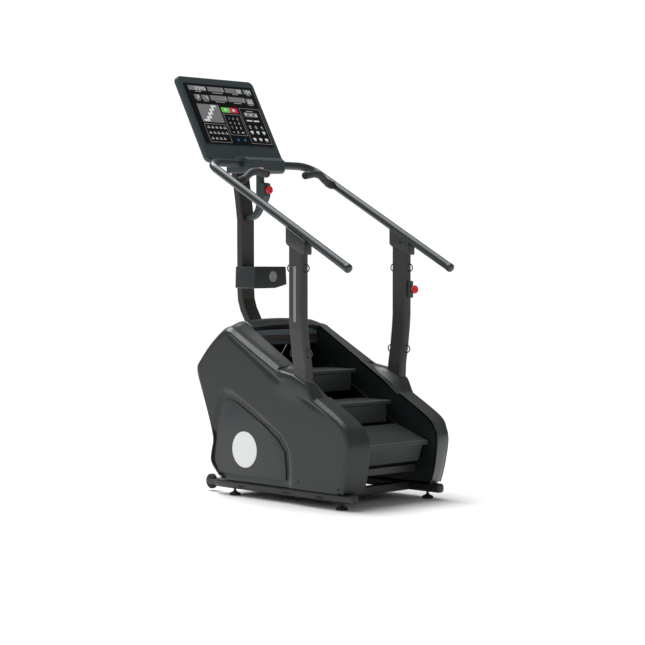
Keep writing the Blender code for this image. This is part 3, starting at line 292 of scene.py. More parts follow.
# ---------------------------------------------------------------- camera, light and floor
def studio():
    camera = bpy.data.objects.new("camera", bpy.data.cameras.new("camera"))
    bpy.context.scene.collection.objects.link(camera)
    bpy.context.scene.camera = camera
    camera.data.lens = 100.67
    camera.data.sensor_width = 36.0
    camera.data.clip_end = 200.0
    camera.location = (-6.20908, -6.31527 + DATUM_Y, 1.17813)
    yaw, pitch = math.radians(45.4455), math.radians(-2.107)
    heading = Vector((math.cos(pitch) * math.cos(yaw), math.cos(pitch) * math.sin(yaw), math.sin(pitch)))
    camera.rotation_euler = heading.to_track_quat("-Z", "Y").to_euler()

    world = bpy.data.worlds.new("studio")
    bpy.context.scene.world = world
    world.use_nodes = True
    tree = world.node_tree
    room = tree.nodes["Background"]
    room.inputs["Color"].default_value = (1.0, 1.0, 1.0, 1.0)
    room.inputs["Strength"].default_value = ROOM_LIGHT
    backdrop = node_of(tree, "ShaderNodeBackground")
    backdrop.inputs["Color"].default_value = (1.0, 1.0, 1.0, 1.0)
    backdrop.inputs["Strength"].default_value = 1.05
    chosen = node_of(tree, "ShaderNodeMixShader")
    tree.links.new(node_of(tree, "ShaderNodeLightPath").outputs["Is Camera Ray"], chosen.inputs["Fac"])
    tree.links.new(room.outputs["Background"], chosen.inputs[1])
    tree.links.new(backdrop.outputs["Background"], chosen.inputs[2])
    tree.links.new(chosen.outputs["Shader"], tree.nodes["World Output"].inputs["Surface"])
    bpy.context.scene.view_settings.view_transform = "Standard"

    overhead = bpy.data.objects.new("overhead", bpy.data.lights.new("overhead", "SUN"))
    overhead.data.energy = OVERHEAD_LIGHT
    overhead.data.angle = math.radians(60.0)
    overhead.rotation_euler = Vector((0.05, -0.42, -1.0)).to_track_quat("-Z", "Y").to_euler()
    bpy.context.scene.collection.objects.link(overhead)
    for name, spot, target, size, power in (
            ("fill_left", (-5.0, -1.5, 2.6), (0.0, 0.1, 0.7), 2.5, FILL_LIGHT),
            ("rim_back", (0.0, 3.1, 6.2), (0.0, 0.1, 0.6), 3.0, RIM_LIGHT)):
        light = bpy.data.objects.new(name, bpy.data.lights.new(name, "AREA"))
        light.data.size = size
        light.data.energy = power
        light.location = spot
        light.rotation_euler = (Vector(target) - Vector(spot)).to_track_quat("-Z", "Y").to_euler()
        bpy.context.scene.collection.objects.link(light)

    bm = bmesh.new()
    bmesh.ops.create_grid(bm, x_segments=1, y_segments=1, size=40.0)
    floor = mesh_object("studio_floor", bm)
    floor.data.materials.append(surface("pale_floor", (0.90, 0.90, 0.90), 0.8, mottle=0.0, grain=0.0))
    bpy.context.scene.collection.objects.link(floor)


# ---------------------------------------------------------------- side covers
COVER_REAR = ((0.362, 0.800), (0.410, 0.765), (0.463, 0.719), (0.505, 0.674), (0.536, 0.634), (0.533, 0.590),
              (0.512, 0.535), (0.483, 0.461), (0.460, 0.402), (0.433, 0.324), (0.421, 0.265), (0.434, 0.205),
              (0.436, 0.159), (0.400, 0.115), (0.352, COVER_BOTTOM))
INNER_REAR = ((0.384, 0.828), (0.430, 0.785), (0.482, 0.735), (0.520, 0.686), (0.549, 0.642)) + tuple(
    (y + 0.012, z + 0.006) for y, z in COVER_REAR[5:-1]) + ((0.364, COVER_BOTTOM),)
INNER_OUTLINE = ((-0.513, COVER_BOTTOM), (-0.534, 0.130), (-0.549, 0.200), (-0.558, 0.290), (-0.545, 0.350),
                 (-0.490, 0.409), (-0.304, 0.5142), (-0.043, 0.6614), (0.100, 0.7425), (0.245, 0.8245),
                 (0.298, 0.851), (0.340, 0.853)) + INNER_REAR
OUTER_OUTLINE = ((-0.486, COVER_BOTTOM), (-0.505, 0.130), (-0.522, 0.195), (-0.537, 0.285), (-0.526, 0.345),
                 (-0.484, 0.404), (-0.304, 0.5058), (-0.043, 0.6407), (0.100, 0.7145), (0.245, 0.789),
                 (0.291, 0.814), (0.325, 0.818)) + COVER_REAR
PAD_SPAN = 6                             # the control points either side of the pad that carries the post
RECESS_OUTLINE = ((0.330, 0.515), (0.270, 0.512), (0.200, 0.478), (0.056, 0.400), (-0.071, 0.327),
                  (-0.126, 0.260), (-0.140, 0.165), (-0.140, 0.020), (0.470, 0.020), (0.470, 0.130),
                  (0.450, 0.242), (0.420, 0.317), (0.392, 0.400), (0.362, 0.475))
PANEL_OUTLINE = ((0.316, 0.474), (0.262, 0.470), (0.205, 0.444), (0.056, 0.370), (-0.052, 0.300),
                 (-0.098, 0.246), (-0.108, 0.165), (-0.108, 0.112), (0.372, 0.112), (0.398, 0.165),
                 (0.395, 0.242), (0.382, 0.317), (0.356, 0.394), (0.337, 0.447))
COVER_MIDDLE = (0.060, 0.380)


def inside_distance(y, z, outline):
    """Distance to the outline's edge, positive inside it."""
    nearest, inside = 1e9, False
    for (y1, z1), (y2, z2) in zip(outline, outline[1:] + outline[:1]):
        span_y, span_z = y2 - y1, z2 - z1
        t = ((y - y1) * span_y + (z - z1) * span_z) / (span_y ** 2 + span_z ** 2)
        t = min(max(t, 0.0), 1.0)
        nearest = min(nearest, math.hypot(y - y1 - t * span_y, z - z1 - t * span_z))
        if (z1 > z) != (z2 > z) and y < y1 + (z - z1) * span_y / span_z:
            inside = not inside
    return nearest if inside else -nearest


def side_x(y, z, valley=0.0):
    """The cover's side face: flat, with a soft recess and a shallow valley below its top edge."""
    recess = RECESS_DEPTH * smoothstep(-0.014, 0.018, inside_distance(y, z, RECESS_OUTLINE))
    return SKIN_X - recess - valley


def on_pad(position, edge):
    """1 along the pad that carries the post, easing to 0 over the given share of its length."""
    start, end = float(PAD_SPAN), PAD_SPAN + 1.0
    return smoothstep(start, start + edge, position) * (1 - smoothstep(end - edge, end, position))


def pad_top(y):
    for (y0, z0), (y1, z1) in zip(PAD_TOP, PAD_TOP[1:]):
        if y0 <= y <= y1:
            return blend(z0, z1, (y - y0) / (y1 - y0))
    return 0.0


def band_positions():
    positions = []
    for i in range(len(OUTER_OUTLINE) - 1):
        if i == PAD_SPAN:
            inner = (0.0, 0.006, 0.012, 0.020, 0.035, 0.055, 0.08, 0.11, 0.14, 0.18, 0.24, 0.30, 0.36, 0.45,
                     0.54, 0.60, 0.66, 0.72, 0.78, 0.84, 0.90, 0.95, 0.980, 0.988, 0.994)
        elif i in (PAD_SPAN - 1, PAD_SPAN + 1):
            inner = (0.0, 0.01, 0.05, 0.12, 0.2, 0.28, 0.36, 0.44, 0.52, 0.60, 0.68, 0.76, 0.84, 0.92, 0.99)
        else:
            inner = [k / 10 for k in range(10)]
        positions += [i + t for t in inner]
    return positions + [len(OUTER_OUTLINE) - 1.0]


def cover_rows():
    """Rows of (x, y, z) from the inner rim over the band and the side face to its middle, the points of
    the bottom edge, and the number of rows that the band takes."""
    positions = band_positions()
    inner = [catmull_at(INNER_OUTLINE, p) for p in positions]
    outer = [catmull_at(OUTER_OUTLINE, p) for p in positions]
    crisp = [on_pad(p, 0.020) for p in positions]
    soft = [on_pad(p, 0.40) for p in positions]
    count = 40
    bottom = [(blend(outer[-1][0], outer[0][0], k / count), COVER_BOTTOM) for k in range(1, count)]
    rows = []
    # plain band: x, how far from the inner to the outer outline, height of its raised ridge;
    # at the pad: x, how far the surface has risen onto it, and its height against the pad's top
    band = ((0.2325, 0.000, -0.0030, 0.2325, 0.0, 0.0), (0.2350, 0.010, 0.0, 0.2350, 0.0, 0.0),
            (0.2450, 0.09, 0.0, 0.2450, 0.0, 0.0), (0.2600, 0.22, 0.0, 0.2600, 0.06, 0.0),
            (0.2750, 0.36, 0.0, 0.2720, 0.45, 0.0), (0.2900, 0.50, 0.0002, 0.2830, 0.90, 0.0),
            (0.3050, 0.64, 0.0016, 0.2930, 1.0, 0.0), (0.3160, 0.76, 0.0044, 0.3120, 1.0, 0.0),
            (0.3240, 0.86, 0.0056, 0.3300, 1.0, 0.0), (0.3310, 0.94, 0.0038, 0.3420, 1.0, -0.0004),
            (0.3370, 1.02, 0.0002, 0.3480, 1.0, -0.0022), (0.3405, 1.08, -0.0012, 0.3515, 1.0, -0.0050),
            (0.3435, 1.18, -0.0012, 0.3542, 1.0, -0.0095), (0.3460, 1.26, 0.0, 0.3560, 1.0, -0.0160),
            (0.3478, 1.42, 0.0, 0.3570, 1.0, -0.0240), (0.3490, 1.62, 0.0, 0.3572, 1.0, -0.0340))
    for x, mix, ridge, pad_x, risen, below in band:
        row = []
        for (yi, zi), (yo, zo), sharp, gentle in zip(inner, outer, crisp, soft):
            y, z = blend(yi, yo, mix), blend(zi, zo, mix)
            if mix > 1.0:
                toward = Vector((COVER_MIDDLE[0] - yo, COVER_MIDDLE[1] - zo)).normalized()
                y, z = yo + toward.x * 0.030 * (mix - 1.0), zo + toward.y * 0.030 * (mix - 1.0)
            floor = z - RIM_DIP * smoothstep(-0.188, -0.283, y) * (1 - risen)
            height = max(blend(floor, pad_top(y) + below, risen), floor - 0.003)
            share = sharp if risen < 1.0 or below > -0.001 else min(sharp, gentle * 1.6)
            row.append((blend(x, pad_x, share), y, blend(z + ridge, height, sharp)))
        rows.append(row)
    edge = list(zip(outer + bottom, soft + [0.0] * len(bottom)))
    scales = [0.955, 0.94, 0.925, 0.905, 0.885, 0.865, 0.845] + [0.825 - 0.0195 * k for k in range(41)]
    for scale in scales:
        row = []
        for (y, z), gentle in edge:
            yy, zz = blend(COVER_MIDDLE[0], y, scale), blend(COVER_MIDDLE[1], z, scale)
            reach = math.hypot(y - yy, z - zz)
            along_top = smoothstep(0.42, 0.52, z) * smoothstep(0.33, 0.28, y)
            valley = 0.0050 * math.exp(-((reach - 0.036) / 0.015) ** 2) * along_top * (1 - gentle)
            swell = 0.0068 * gentle * (1 - smoothstep(0.0, 0.125, reach))
            row.append((side_x(yy, zz, valley) + swell, yy, zz))
        rows.append(row)
    return rows, bottom, len(band)


def side_covers():
    rows, bottom, band_rows = cover_rows()
    for side, sign in both_sides():
        bm = bmesh.new()
        made = [[bm.verts.new((sign * x, y, z)) for x, y, z in row] for row in rows]
        foot = [bm.verts.new((sign * side_x(y, z), y, z)) for y, z in bottom]
        made[band_rows - 1] += foot
        for row, following in zip(made, made[1:]):
            count = min(len(row), len(following))
            closed = len(row) == len(following) == len(made[-1])
            for i in range(count if closed else count - 1):
                j = (i + 1) % count
                bm.faces.new((row[i], row[j], following[j], following[i]))
        hub = bm.verts.new((sign * side_x(*COVER_MIDDLE), *COVER_MIDDLE))
        for i in range(len(made[-1])):
            bm.faces.new((made[-1][i], made[-1][(i + 1) % len(made[-1])], hub))
        cover = mesh_object(f"cover_skin_{side}", bm, 32.0)
        if sum(face.normal.x * face.area for face in cover.data.polygons) * sign < 0:
            cover.data.flip_normals()
        shell = cover.modifiers.new("wall", "SOLIDIFY")
        shell.thickness = 0.0035
        shell.offset = -1.0
        place(cover, ROOT, COVER, [f"side_cover_{side}"])


def access_panels():
    """A bevelled panel in each recess, its dark gap, and a plain white disc."""
    floor = SKIN_X - RECESS_DEPTH
    middle = (0.150, 0.270)
    mark = disc(0.182, 0.238, 0.088, 64)

    def scaled(amount):
        return [(y + (middle[0] - y) * amount, z + (middle[1] - z) * amount) for y, z in PANEL_OUTLINE]

    for side, sign in both_sides():
        bm = bmesh.new()
        add_prism(bm, scaled(-0.0030), floor - 0.0005, floor + 0.0012, lambda y, z, d: (sign * d, y, z))
        place(mesh_object(f"panel_gap_{side}", bm), ROOT, SHADOW_GAP)
        bm = bmesh.new()
        rings = [[(sign * (floor + depth), y, z) for y, z in scaled(amount)]
                 for amount, depth in ((0.0, 0.0015), (0.0, 0.0048), (0.006, 0.0066), (0.014, 0.0070))]
        add_loft(bm, rings)
        place(mesh_object(f"panel_skin_{side}", bm, 20.0), ROOT, PANEL,
              [f"access_panel_{side}"])
        bm = bmesh.new()
        add_prism(bm, mark, floor + 0.0070, floor + 0.0078, lambda y, z, d: (sign * d, y, z))
        place(mesh_object(f"side_mark_{side}", bm), ROOT, WHITE_MARK)


def screw_head(name, centre, axis, radius, body, toward=1.0):
    bm = bmesh.new()
    profile = [(0.0, -0.001), (radius, -0.001), (radius, 0.0008), (radius * 0.8, 0.0016 * toward),
               (radius * 0.45, 0.0018 * toward), (radius * 0.40, 0.0008 * toward), (0.0, 0.0008 * toward)]
    add_turned(bm, profile, axis, centre, sides=20)
    return place(mesh_object(name, bm), body, SCREW)


def cover_screws():
    for side, sign in both_sides():
        for k, (y, z) in enumerate(((-0.202, 0.114), (-0.466, 0.100), (0.364, 0.105))):
            screw_head(f"cover_screw_{side}_{k}", (sign * SKIN_X, y, z), "X", 0.006, ROOT, toward=float(sign))


# ---------------------------------------------------------------- stair
RUN_Y, RUN_Z = math.cos(INCLINE), math.sin(INCLINE)
CENTRE_DISTANCE = (STEP_COUNT * STEP_PITCH - 2 * math.pi * CHAIN_RADIUS) / 2


def chain_place(distance):
    """Pivot (y, z) and turn of a step, by distance along the chain from the lower tangent point."""
    arc = math.pi * CHAIN_RADIUS
    distance %= STEP_COUNT * STEP_PITCH
    up, out = (RUN_Y, RUN_Z), (-RUN_Z, RUN_Y)
    if distance < CENTRE_DISTANCE:
        centre, turn, along = LOWER_CENTRE, 0.0, distance
    elif distance < CENTRE_DISTANCE + arc:
        centre, turn, along = UPPER_CENTRE, -(distance - CENTRE_DISTANCE) / CHAIN_RADIUS, 0.0
    elif distance < 2 * CENTRE_DISTANCE + arc:
        centre, turn, along = UPPER_CENTRE, -math.pi, distance - CENTRE_DISTANCE - arc
    else:
        past = distance - 2 * CENTRE_DISTANCE - arc
        centre, turn, along = LOWER_CENTRE, -math.pi - past / CHAIN_RADIUS, 0.0
    cosine, sine = math.cos(turn), math.sin(turn)
    y = centre[0] + (out[0] * cosine - out[1] * sine) * CHAIN_RADIUS + (up[0] * cosine - up[1] * sine) * along
    z = centre[1] + (out[0] * sine + out[1] * cosine) * CHAIN_RADIUS + (up[0] * sine + up[1] * cosine) * along
    return y, z, turn


def tread_section():
    """Ribbed tread seen from its end: rolled nose, ribs across the top, plain underside."""
    under = TREAD_TOP - TREAD_THICKNESS
    points = [(NOSE_Y + 0.010, under), (NOSE_Y + 0.003, under + 0.001), (NOSE_Y, under + 0.005),
              (NOSE_Y, TREAD_TOP - 0.006), (NOSE_Y + 0.002, TREAD_TOP - 0.0018), (NOSE_Y + 0.006, TREAD_TOP),
              (NOSE_Y + 0.020, TREAD_TOP), (NOSE_Y + 0.0215, TREAD_TOP - 0.0012)]
    pitch, y = 0.0058, NOSE_Y + 0.024
    while y < NOSE_Y + STEP_DEPTH - 0.012:
        points += [(y, TREAD_TOP - 0.0012), (y + 0.0008, TREAD_TOP), (y + 0.0036, TREAD_TOP),
                   (y + 0.0044, TREAD_TOP - 0.0012)]
        y += pitch
    points += [(NOSE_Y + STEP_DEPTH - 0.004, TREAD_TOP - 0.0012), (NOSE_Y + STEP_DEPTH, TREAD_TOP - 0.004),
               (NOSE_Y + STEP_DEPTH, under)]
    return points


def steps():
    section = tread_section()
    under = TREAD_TOP - TREAD_THICKNESS
    for number in range(1, STEP_COUNT + 1):
        y, z, turn = chain_place((number - 1) * STEP_PITCH - CHAIN_RADIUS * FIRST_STEP_TILT)
        body = f"step_{number}"

        def put(obj, finish, replaces=()):
            obj.location = (0.0, y, z)
            obj.rotation_euler = (turn, 0.0, 0.0)
            return place(obj, body, finish, replaces)

        bm = bmesh.new()
        half = TREAD_HALF_WIDTH
        add_loft(bm, [[(x, a, b) for a, b in section] for x in (-half, half)])
        for sign in (-1, 1):
            lug = [(-0.016, under + 0.0001), (0.016, under + 0.0001), (0.012, -0.010), (0.007, -0.013),
                   (-0.007, -0.013), (-0.012, -0.010)]
            add_prism(bm, lug, sign * 0.1990, sign * 0.2105, lambda a, b, d: (d, a, b))
            stub = [(0.0, 0.2100), (0.006, 0.2100), (0.006, 0.2158), (0.0, 0.2158)]
            add_turned(bm, [(radius, sign * height) for radius, height in stub], "X", (0, 0, 0))
        put(mesh_object(f"tread_skin_{number}", bm, 30.0), TREAD, [f"tread_{number}"])

        bm = bmesh.new()
        front, top, low = NOSE_Y + 0.012, under - 0.0006, TREAD_TOP - 0.105
        profile = [(front, top), (front, low + 0.003), (front + 0.001, low), (front + 0.004, low),
                   (front + 0.004, top - 0.005), (front + 0.028, top - 0.004), (front + 0.028, top)]
        half = RISER_HALF_WIDTH
        add_loft(bm, [[(x, a, b) for a, b in profile] for x in (-half, half)])
        for row in range(4):
            height = top - 0.016 - row * 0.0165
            x = -half + 0.014 + (0.012 if row % 2 else 0.0)
            k = 0
            while x < half - 0.030:
                width = (0.018, 0.026, 0.012)[(k + row) % 3]
                raised = [(x, height), (x + width, height), (x + width, height - 0.009), (x, height - 0.009)]
                add_prism(bm, raised, front + 0.0005, front - 0.0012, lambda a, b, d: (a, d, b))
                x += width + 0.006
                k += 1
        put(mesh_object(f"riser_skin_{number}", bm), TREAD, [f"riser_{number}"])


# ---------------------------------------------------------------- hood and stair well
def rear_hood():
    first, fine = 9, 6                   # the outline's point at the hood's front lip, and points per span
    outline = [catmull_at(INNER_OUTLINE, first + k / fine)
               for k in range(fine * (len(INNER_OUTLINE) - 1 - first) + 1)]
    profile = [(0.262, 0.796), (0.254, 0.806), (0.250, 0.815)] + outline
    half = WALL_X - 0.0018
    stations = [-half + 2 * half * k / 24 for k in range(25)]
    bm = bmesh.new()
    rows = []
    for x in stations:
        crown = 1 - (x / half) ** 2
        row = []
        for k, (y, z) in enumerate(profile):
            fade = smoothstep(0.30, 0.10, z)
            lip = 0.018 * (1 - smoothstep(0, 9, k))
            forward = crown * (lip + 0.010 * (1 - fade))
            row.append(bm.verts.new((x, y + forward, z + crown * 0.011 * (1 - fade))))
        rows.append(row)
    for row, following in zip(rows, rows[1:]):
        for i in range(len(profile) - 1):
            bm.faces.new((row[i], row[i + 1], following[i + 1], following[i]))
    hood = mesh_object("hood_skin", bm)
    if sum(face.normal.y * face.area for face in hood.data.polygons) < 0:
        hood.data.flip_normals()
    shell = hood.modifiers.new("wall", "SOLIDIFY")
    shell.thickness = 0.003
    shell.offset = -1.0
    place(hood, ROOT, COVER, ["rear_hood"])


def stair_well():
    """The end wall behind the top step, and the brown strip below it."""
    rounded_box("brown_lip", (-0.228, 0.2610, 0.760), (0.228, 0.2655, 0.783), 0.0015, ROOT, BROWN_STRIP)
    rounded_box("end_wall", (-0.228, 0.2620, 0.7835), (0.228, 0.2650, 0.812), 0.0010, ROOT, WALL_TEAL)


# ---------------------------------------------------------------- frame, posts and handrails
def floor_rails():
    """Rounded tubes with pressed-in end caps and the dark slots along their outer sides."""
    section = rounded_rectangle(0.022, 0.0225, 0.015, steps=6)
    centre_x, centre_z, outer_x = 0.296, 0.0555, 0.3178
    ends = ((0.0, 0.62), (0.002, 0.80), (0.006, 0.94), (0.012, 1.0))
    front, rear = -0.529, 0.433
    stations = [(front + d, s) for d, s in ends] + [(front + 0.030, 1.0), (rear - 0.03, 1.0)]
    stations += [(rear - d, s) for d, s in reversed(ends)]
    for side, sign in both_sides():
        bm = bmesh.new()
        add_loft(bm, [[(sign * centre_x + u * s, y, centre_z + v * s) for u, v in section]
                      for y, s in stations])
        place(mesh_object(f"floor_rail_skin_{side}", bm), ROOT, FRAME, [f"floor_rail_{side}"])
        bm = bmesh.new()
        for y in (0.237, -0.084, -0.315):
            slot = [(y + u, 0.050 + v) for u, v in rounded_rectangle(0.024, 0.0035, 0.0034, steps=3)]
            add_prism(bm, slot, sign * outer_x, sign * (outer_x + 0.0006), lambda a, b, d: (d, a, b))
        place(mesh_object(f"floor_rail_slots_{side}", bm), ROOT, SHADOW_GAP)


def handrail_height(y):
    slope = (HANDRAIL_CORNER[1] - HANDRAIL_FRONT[1]) / (HANDRAIL_CORNER[0] - HANDRAIL_FRONT[0])
    return HANDRAIL_FRONT[1] + slope * (y - HANDRAIL_FRONT[0])


def handrails():
    """Smooth tubes up the slope, round one corner and inwards to the hub, with a plug in each front end."""
    front = Vector((HANDRAIL_X, *HANDRAIL_FRONT))
    corner = Vector((HANDRAIL_X, *HANDRAIL_CORNER))
    inner = Vector((HANDRAIL_END_X, *HANDRAIL_CORNER))
    along, across = (corner - front).normalized(), (inner - corner).normalized()
    upright = along.cross(across)
    start = corner - along * HANDRAIL_BEND
    plug = ((0.0, 0.60), (0.0012, 0.74), (0.003, 0.87), (0.0055, 0.96), (0.009, 1.03), (0.014, 1.06),
            (0.025, 1.06), (0.0262, 1.04), (0.0268, 1.0))
    stations = [(front + along * d, along, scale) for d, scale in plug]
    length = (start - front).length
    stations += [(front + along * (length * k / 12), along, 1.0) for k in range(1, 12)]
    for k in range(25):
        angle = math.pi / 2 * k / 24
        point = start + (along * math.sin(angle) + across * (1 - math.cos(angle))) * HANDRAIL_BEND
        stations.append((point, along * math.cos(angle) + across * math.sin(angle), 1.0))
    bend_end = start + (along + across) * HANDRAIL_BEND
    stations += [(bend_end.lerp(inner, k / 4), across, 1.0) for k in range(1, 5)]
    sides = 40
    for side, sign in both_sides():
        rings = []
        for point, heading, scale in stations:
            level = heading.cross(upright)
            ring = []
            for k in range(sides):
                angle = 2 * math.pi * k / sides
                outward = upright * math.cos(angle) + level * math.sin(angle)
                skin = point + outward * HANDRAIL_RADIUS * scale
                ring.append((sign * skin.x, skin.y, skin.z))
            rings.append(ring)
        bm = bmesh.new()
        add_loft(bm, rings)
        place(mesh_object(f"handrail_skin_{side}", bm, 40.0), ROOT, RAIL, [f"handrail_{side}"])


def rail_brackets():
    """Pressed brackets that hug the underside of the handrails on top of the posts."""
    front, rear = POST_Y - 0.0665, POST_Y + 0.0630
    underside = [(y, 1.2075 + 0.40 * (y - POST_Y)) for y in (front + 0.016, rear - 0.016)]
    outline = [(front, handrail_height(front) - 0.010), (front, 1.187), (front + 0.004, 1.1835), *underside,
               (rear - 0.004, 1.2355), (rear, 1.240), (rear, handrail_height(rear) - 0.010)]
    for side, sign in both_sides():
        bm = bmesh.new()
        inner_face, outer_face = sign * (HANDRAIL_X - 0.0205), sign * (HANDRAIL_X + 0.0285)
        low, high = sorted((inner_face, outer_face))
        add_prism(bm, outline, low, high, lambda a, b, d: (d, a, b))
        bmesh.ops.bevel(bm, geom=bm.edges[:], offset=0.0035, segments=3, profile=0.5, affect="EDGES")
        place(mesh_object(f"rail_bracket_skin_{side}", bm, 50.0), ROOT, POST,
              [f"rail_bracket_{side}"])
        screw_head(f"bracket_screw_{side}", (inner_face, POST_Y - 0.012, 1.246), "X", 0.0055, ROOT,
                   toward=-float(sign))


def add_tube(bm, path, radii, sides=24):
    """A closed tube along an (x, z) path in the plane y = GRIP_Y."""
    rings = []
    for i, (x, z) in enumerate(path):
        before, after = path[max(i - 1, 0)], path[min(i + 1, len(path) - 1)]
        along = Vector((after[0] - before[0], 0, after[1] - before[1])).normalized()
        middle, across, level = Vector((x, GRIP_Y, z)), Vector((-along.z, 0, along.x)), Vector((0, 1, 0))
        rings.append([middle + (across * math.cos(a) + level * math.sin(a)) * radii[i]
                      for a in (2 * math.pi * k / sides for k in range(sides))])
    add_loft(bm, rings)


def grips():
    """Moulded handles: a dark collar on the rail, a soft sleeve over the elbow and a plug in the end."""
    rise = ((0.334, 0.004), (0.320, 0.004), (0.306, 0.009), (0.292, 0.014), (0.285, 0.018), (0.268, 0.028),
            (0.250, 0.042), (0.236, 0.051), (0.222, 0.055), (0.206, 0.057), (0.190, 0.057), (0.160, 0.052),
            (0.135, 0.0475))
    widths = (1.00, 1.02, 1.05, 1.04, 0.95, 0.94, 0.96, 1.0, 1.01, 1.01, 1.0, 1.01, 1.01)
    fine = [k / 4 for k in range(4 * (len(rise) - 1) + 1)]
    rail_z = handrail_height(GRIP_Y)
    sleeve_from, collar_to = 12, 14      # the collar ends just past where the sleeve starts
    line = [(x, rail_z + z) for x, z in (catmull_at(rise, p) for p in fine)]
    radii = [GRIP_RADIUS * catmull_at([(w,) for w in widths], p)[0] for p in fine]
    for side, sign in both_sides():
        mirrored = [(sign * x, z) for x, z in line]
        bm = bmesh.new()
        add_tube(bm, mirrored[sleeve_from:], radii[sleeve_from:])
        place(mesh_object(f"grip_sleeve_{side}", bm), ROOT, GRIP, [f"grip_{side}"])
        bm = bmesh.new()
        add_tube(bm, mirrored[1:collar_to], [r + 0.0006 for r in radii[1:collar_to]])
        place(mesh_object(f"grip_collar_{side}", bm), ROOT, RUBBER)
        bm = bmesh.new()
        end = [(0.1365, 0.0478, 1.02), (0.131, 0.0470, 1.02), (0.127, 0.0463, 0.97), (0.124, 0.0458, 0.86),
               (0.1222, 0.0455, 0.60)]
        add_tube(bm, [(sign * x, rail_z + z) for x, z, _ in end], [GRIP_RADIUS * w for _, _, w in end])
        place(mesh_object(f"grip_plug_{side}", bm), ROOT, RUBBER)


def plain_mark(name, outline, to_world, thickness=0.0005):
    """A plain grey shape where the maker's lettering or mark would be."""
    bm = bmesh.new()
    add_prism(bm, outline, 0.0, thickness, to_world)
    place(mesh_object(name, bm), ROOT, MARK_GREY)


def post_marks():
    """One plain upright bar on the outer face of the left post."""
    face = POST_UPPER_X + POST_HALF_X
    low, high, half = 0.870, 1.130, 0.009
    outline = [(POST_Y - half, low), (POST_Y + half, low), (POST_Y + half, high), (POST_Y - half, high)]
    plain_mark("post_mark", outline, lambda a, b, d: (-face - d, a, b))


# ---------------------------------------------------------------- tray and stop buttons
def tray_ring(half, front, rear, inset, z, lift=0.0):
    points = []
    for corner, (x, y, radius) in enumerate(((half, rear, 0.035), (-half, rear, 0.035),
                                             (-half, front, 0.010), (half, front, 0.010))):
        middle_x = x - math.copysign(radius, x)
        middle_y = y - radius if y == rear else y + radius
        for k in range(7):
            angle = math.pi / 2 * (corner + k / 6)
            points.append((middle_x + (radius - inset) * math.cos(angle),
                           middle_y + (radius - inset) * math.sin(angle)))
    # split the front edge, so that it can curve up towards its right-hand end
    front_left, front_right = points[20], points[21]
    straight = [(blend(front_left[0], front_right[0], k / 12), front_left[1]) for k in range(1, 12)]
    points = points[:21] + straight + points[21:]
    return [(x, y, z + lift * smoothstep(0.02, half, x)) for x, y in points]


def accessory_tray():
    rear, front = 0.5285, 0.362
    low, high, wall, rise = 1.016, 1.125, 0.004, 0.016
    half = 0.1085
    rings = [tray_ring(0.110, front - 0.001, rear, 0.004, low, rise),
             tray_ring(0.1122, front - 0.002, rear, 0.0, low + 0.004, rise),
             tray_ring(half, front, rear, 0.0, high - 0.0015), tray_ring(half, front, rear, 0.001, high),
             tray_ring(half, front, rear, wall - 0.001, high),
             tray_ring(half, front, rear, wall, high - 0.0015),
             tray_ring(half, front, rear, wall, low + 0.022)]
    bm = bmesh.new()
    add_loft(bm, rings)
    place(mesh_object("tray_skin", bm), ROOT, TRAY, ["accessory_tray"])
    plain_mark("tray_mark", disc(0.013, 1.075, 0.027, 40), lambda a, b, d: (a, front - 0.0012 - d, b))


def stop_buttons():
    """Red mushroom heads with a raised ring on their faces."""
    radius, gap = 0.0207, 0.0055
    top = gap + 0.018
    profile = ((0.0, -0.007), (0.006, -0.007), (0.006, gap), (radius - 0.004, gap),
               (radius - 0.001, gap + 0.0015), (radius, gap + 0.005), (radius, gap + 0.009),
               (radius - 0.0010, top - 0.005), (radius - 0.0035, top - 0.002),
               (radius - 0.0065, top - 0.0006), (radius - 0.009, top - 0.0012),
               (radius - 0.0105, top - 0.0014), (0.0, top - 0.0004))
    for name, centre in (("arm", (0.0, 0.387, 1.512)), ("post", (0.3588, -0.2799, 1.014))):
        bm = bmesh.new()
        add_turned(bm, [(r, -h) for r, h in profile], "Y", centre)
        place(mesh_object(f"stop_head_{name}", bm, 40.0), f"stop_button_{name}", STOP_RED,
              [f"estop_button_{name}"])


# ---------------------------------------------------------------- console
def on_console(u, v, depth):
    """A point of the console: u across, v up its face, depth towards the user."""
    sine, cosine = math.sin(CONSOLE_TILT), math.cos(CONSOLE_TILT)
    return Vector((u, CONSOLE_BASE[0] + v * sine - depth * cosine,
                   CONSOLE_BASE[1] + v * cosine + depth * sine))


def prints(name, shapes, finish, low=0.0, high=0.0003):
    """Thin printed shapes on the console's overlay; each shape is a list of (u, v) points."""
    bm = bmesh.new()
    for shape in shapes:
        add_prism(bm, shape, FACE_FRONT + low, FACE_FRONT + high, on_console)
    place(mesh_object(name, bm), ROOT, finish)


def bar(u0, v0, u1, v1):
    return [(u0, v0), (u1, v0), (u1, v1), (u0, v1)]


def outlined(u0, v0, u1, v1, line=0.0014):
    return [bar(u0, v0, u1, v0 + line), bar(u0, v1 - line, u1, v1), bar(u0, v0 + line, u0 + line, v1 - line),
            bar(u1 - line, v0 + line, u1, v1 - line)]


SEGMENTS = {"0": "abcdef", "1": "bc", "2": "abged", "3": "abgcd", "4": "fgbc", "5": "afgcd", "6": "afgedc",
            "7": "abc", "8": "abcdefg", "9": "abcdfg"}


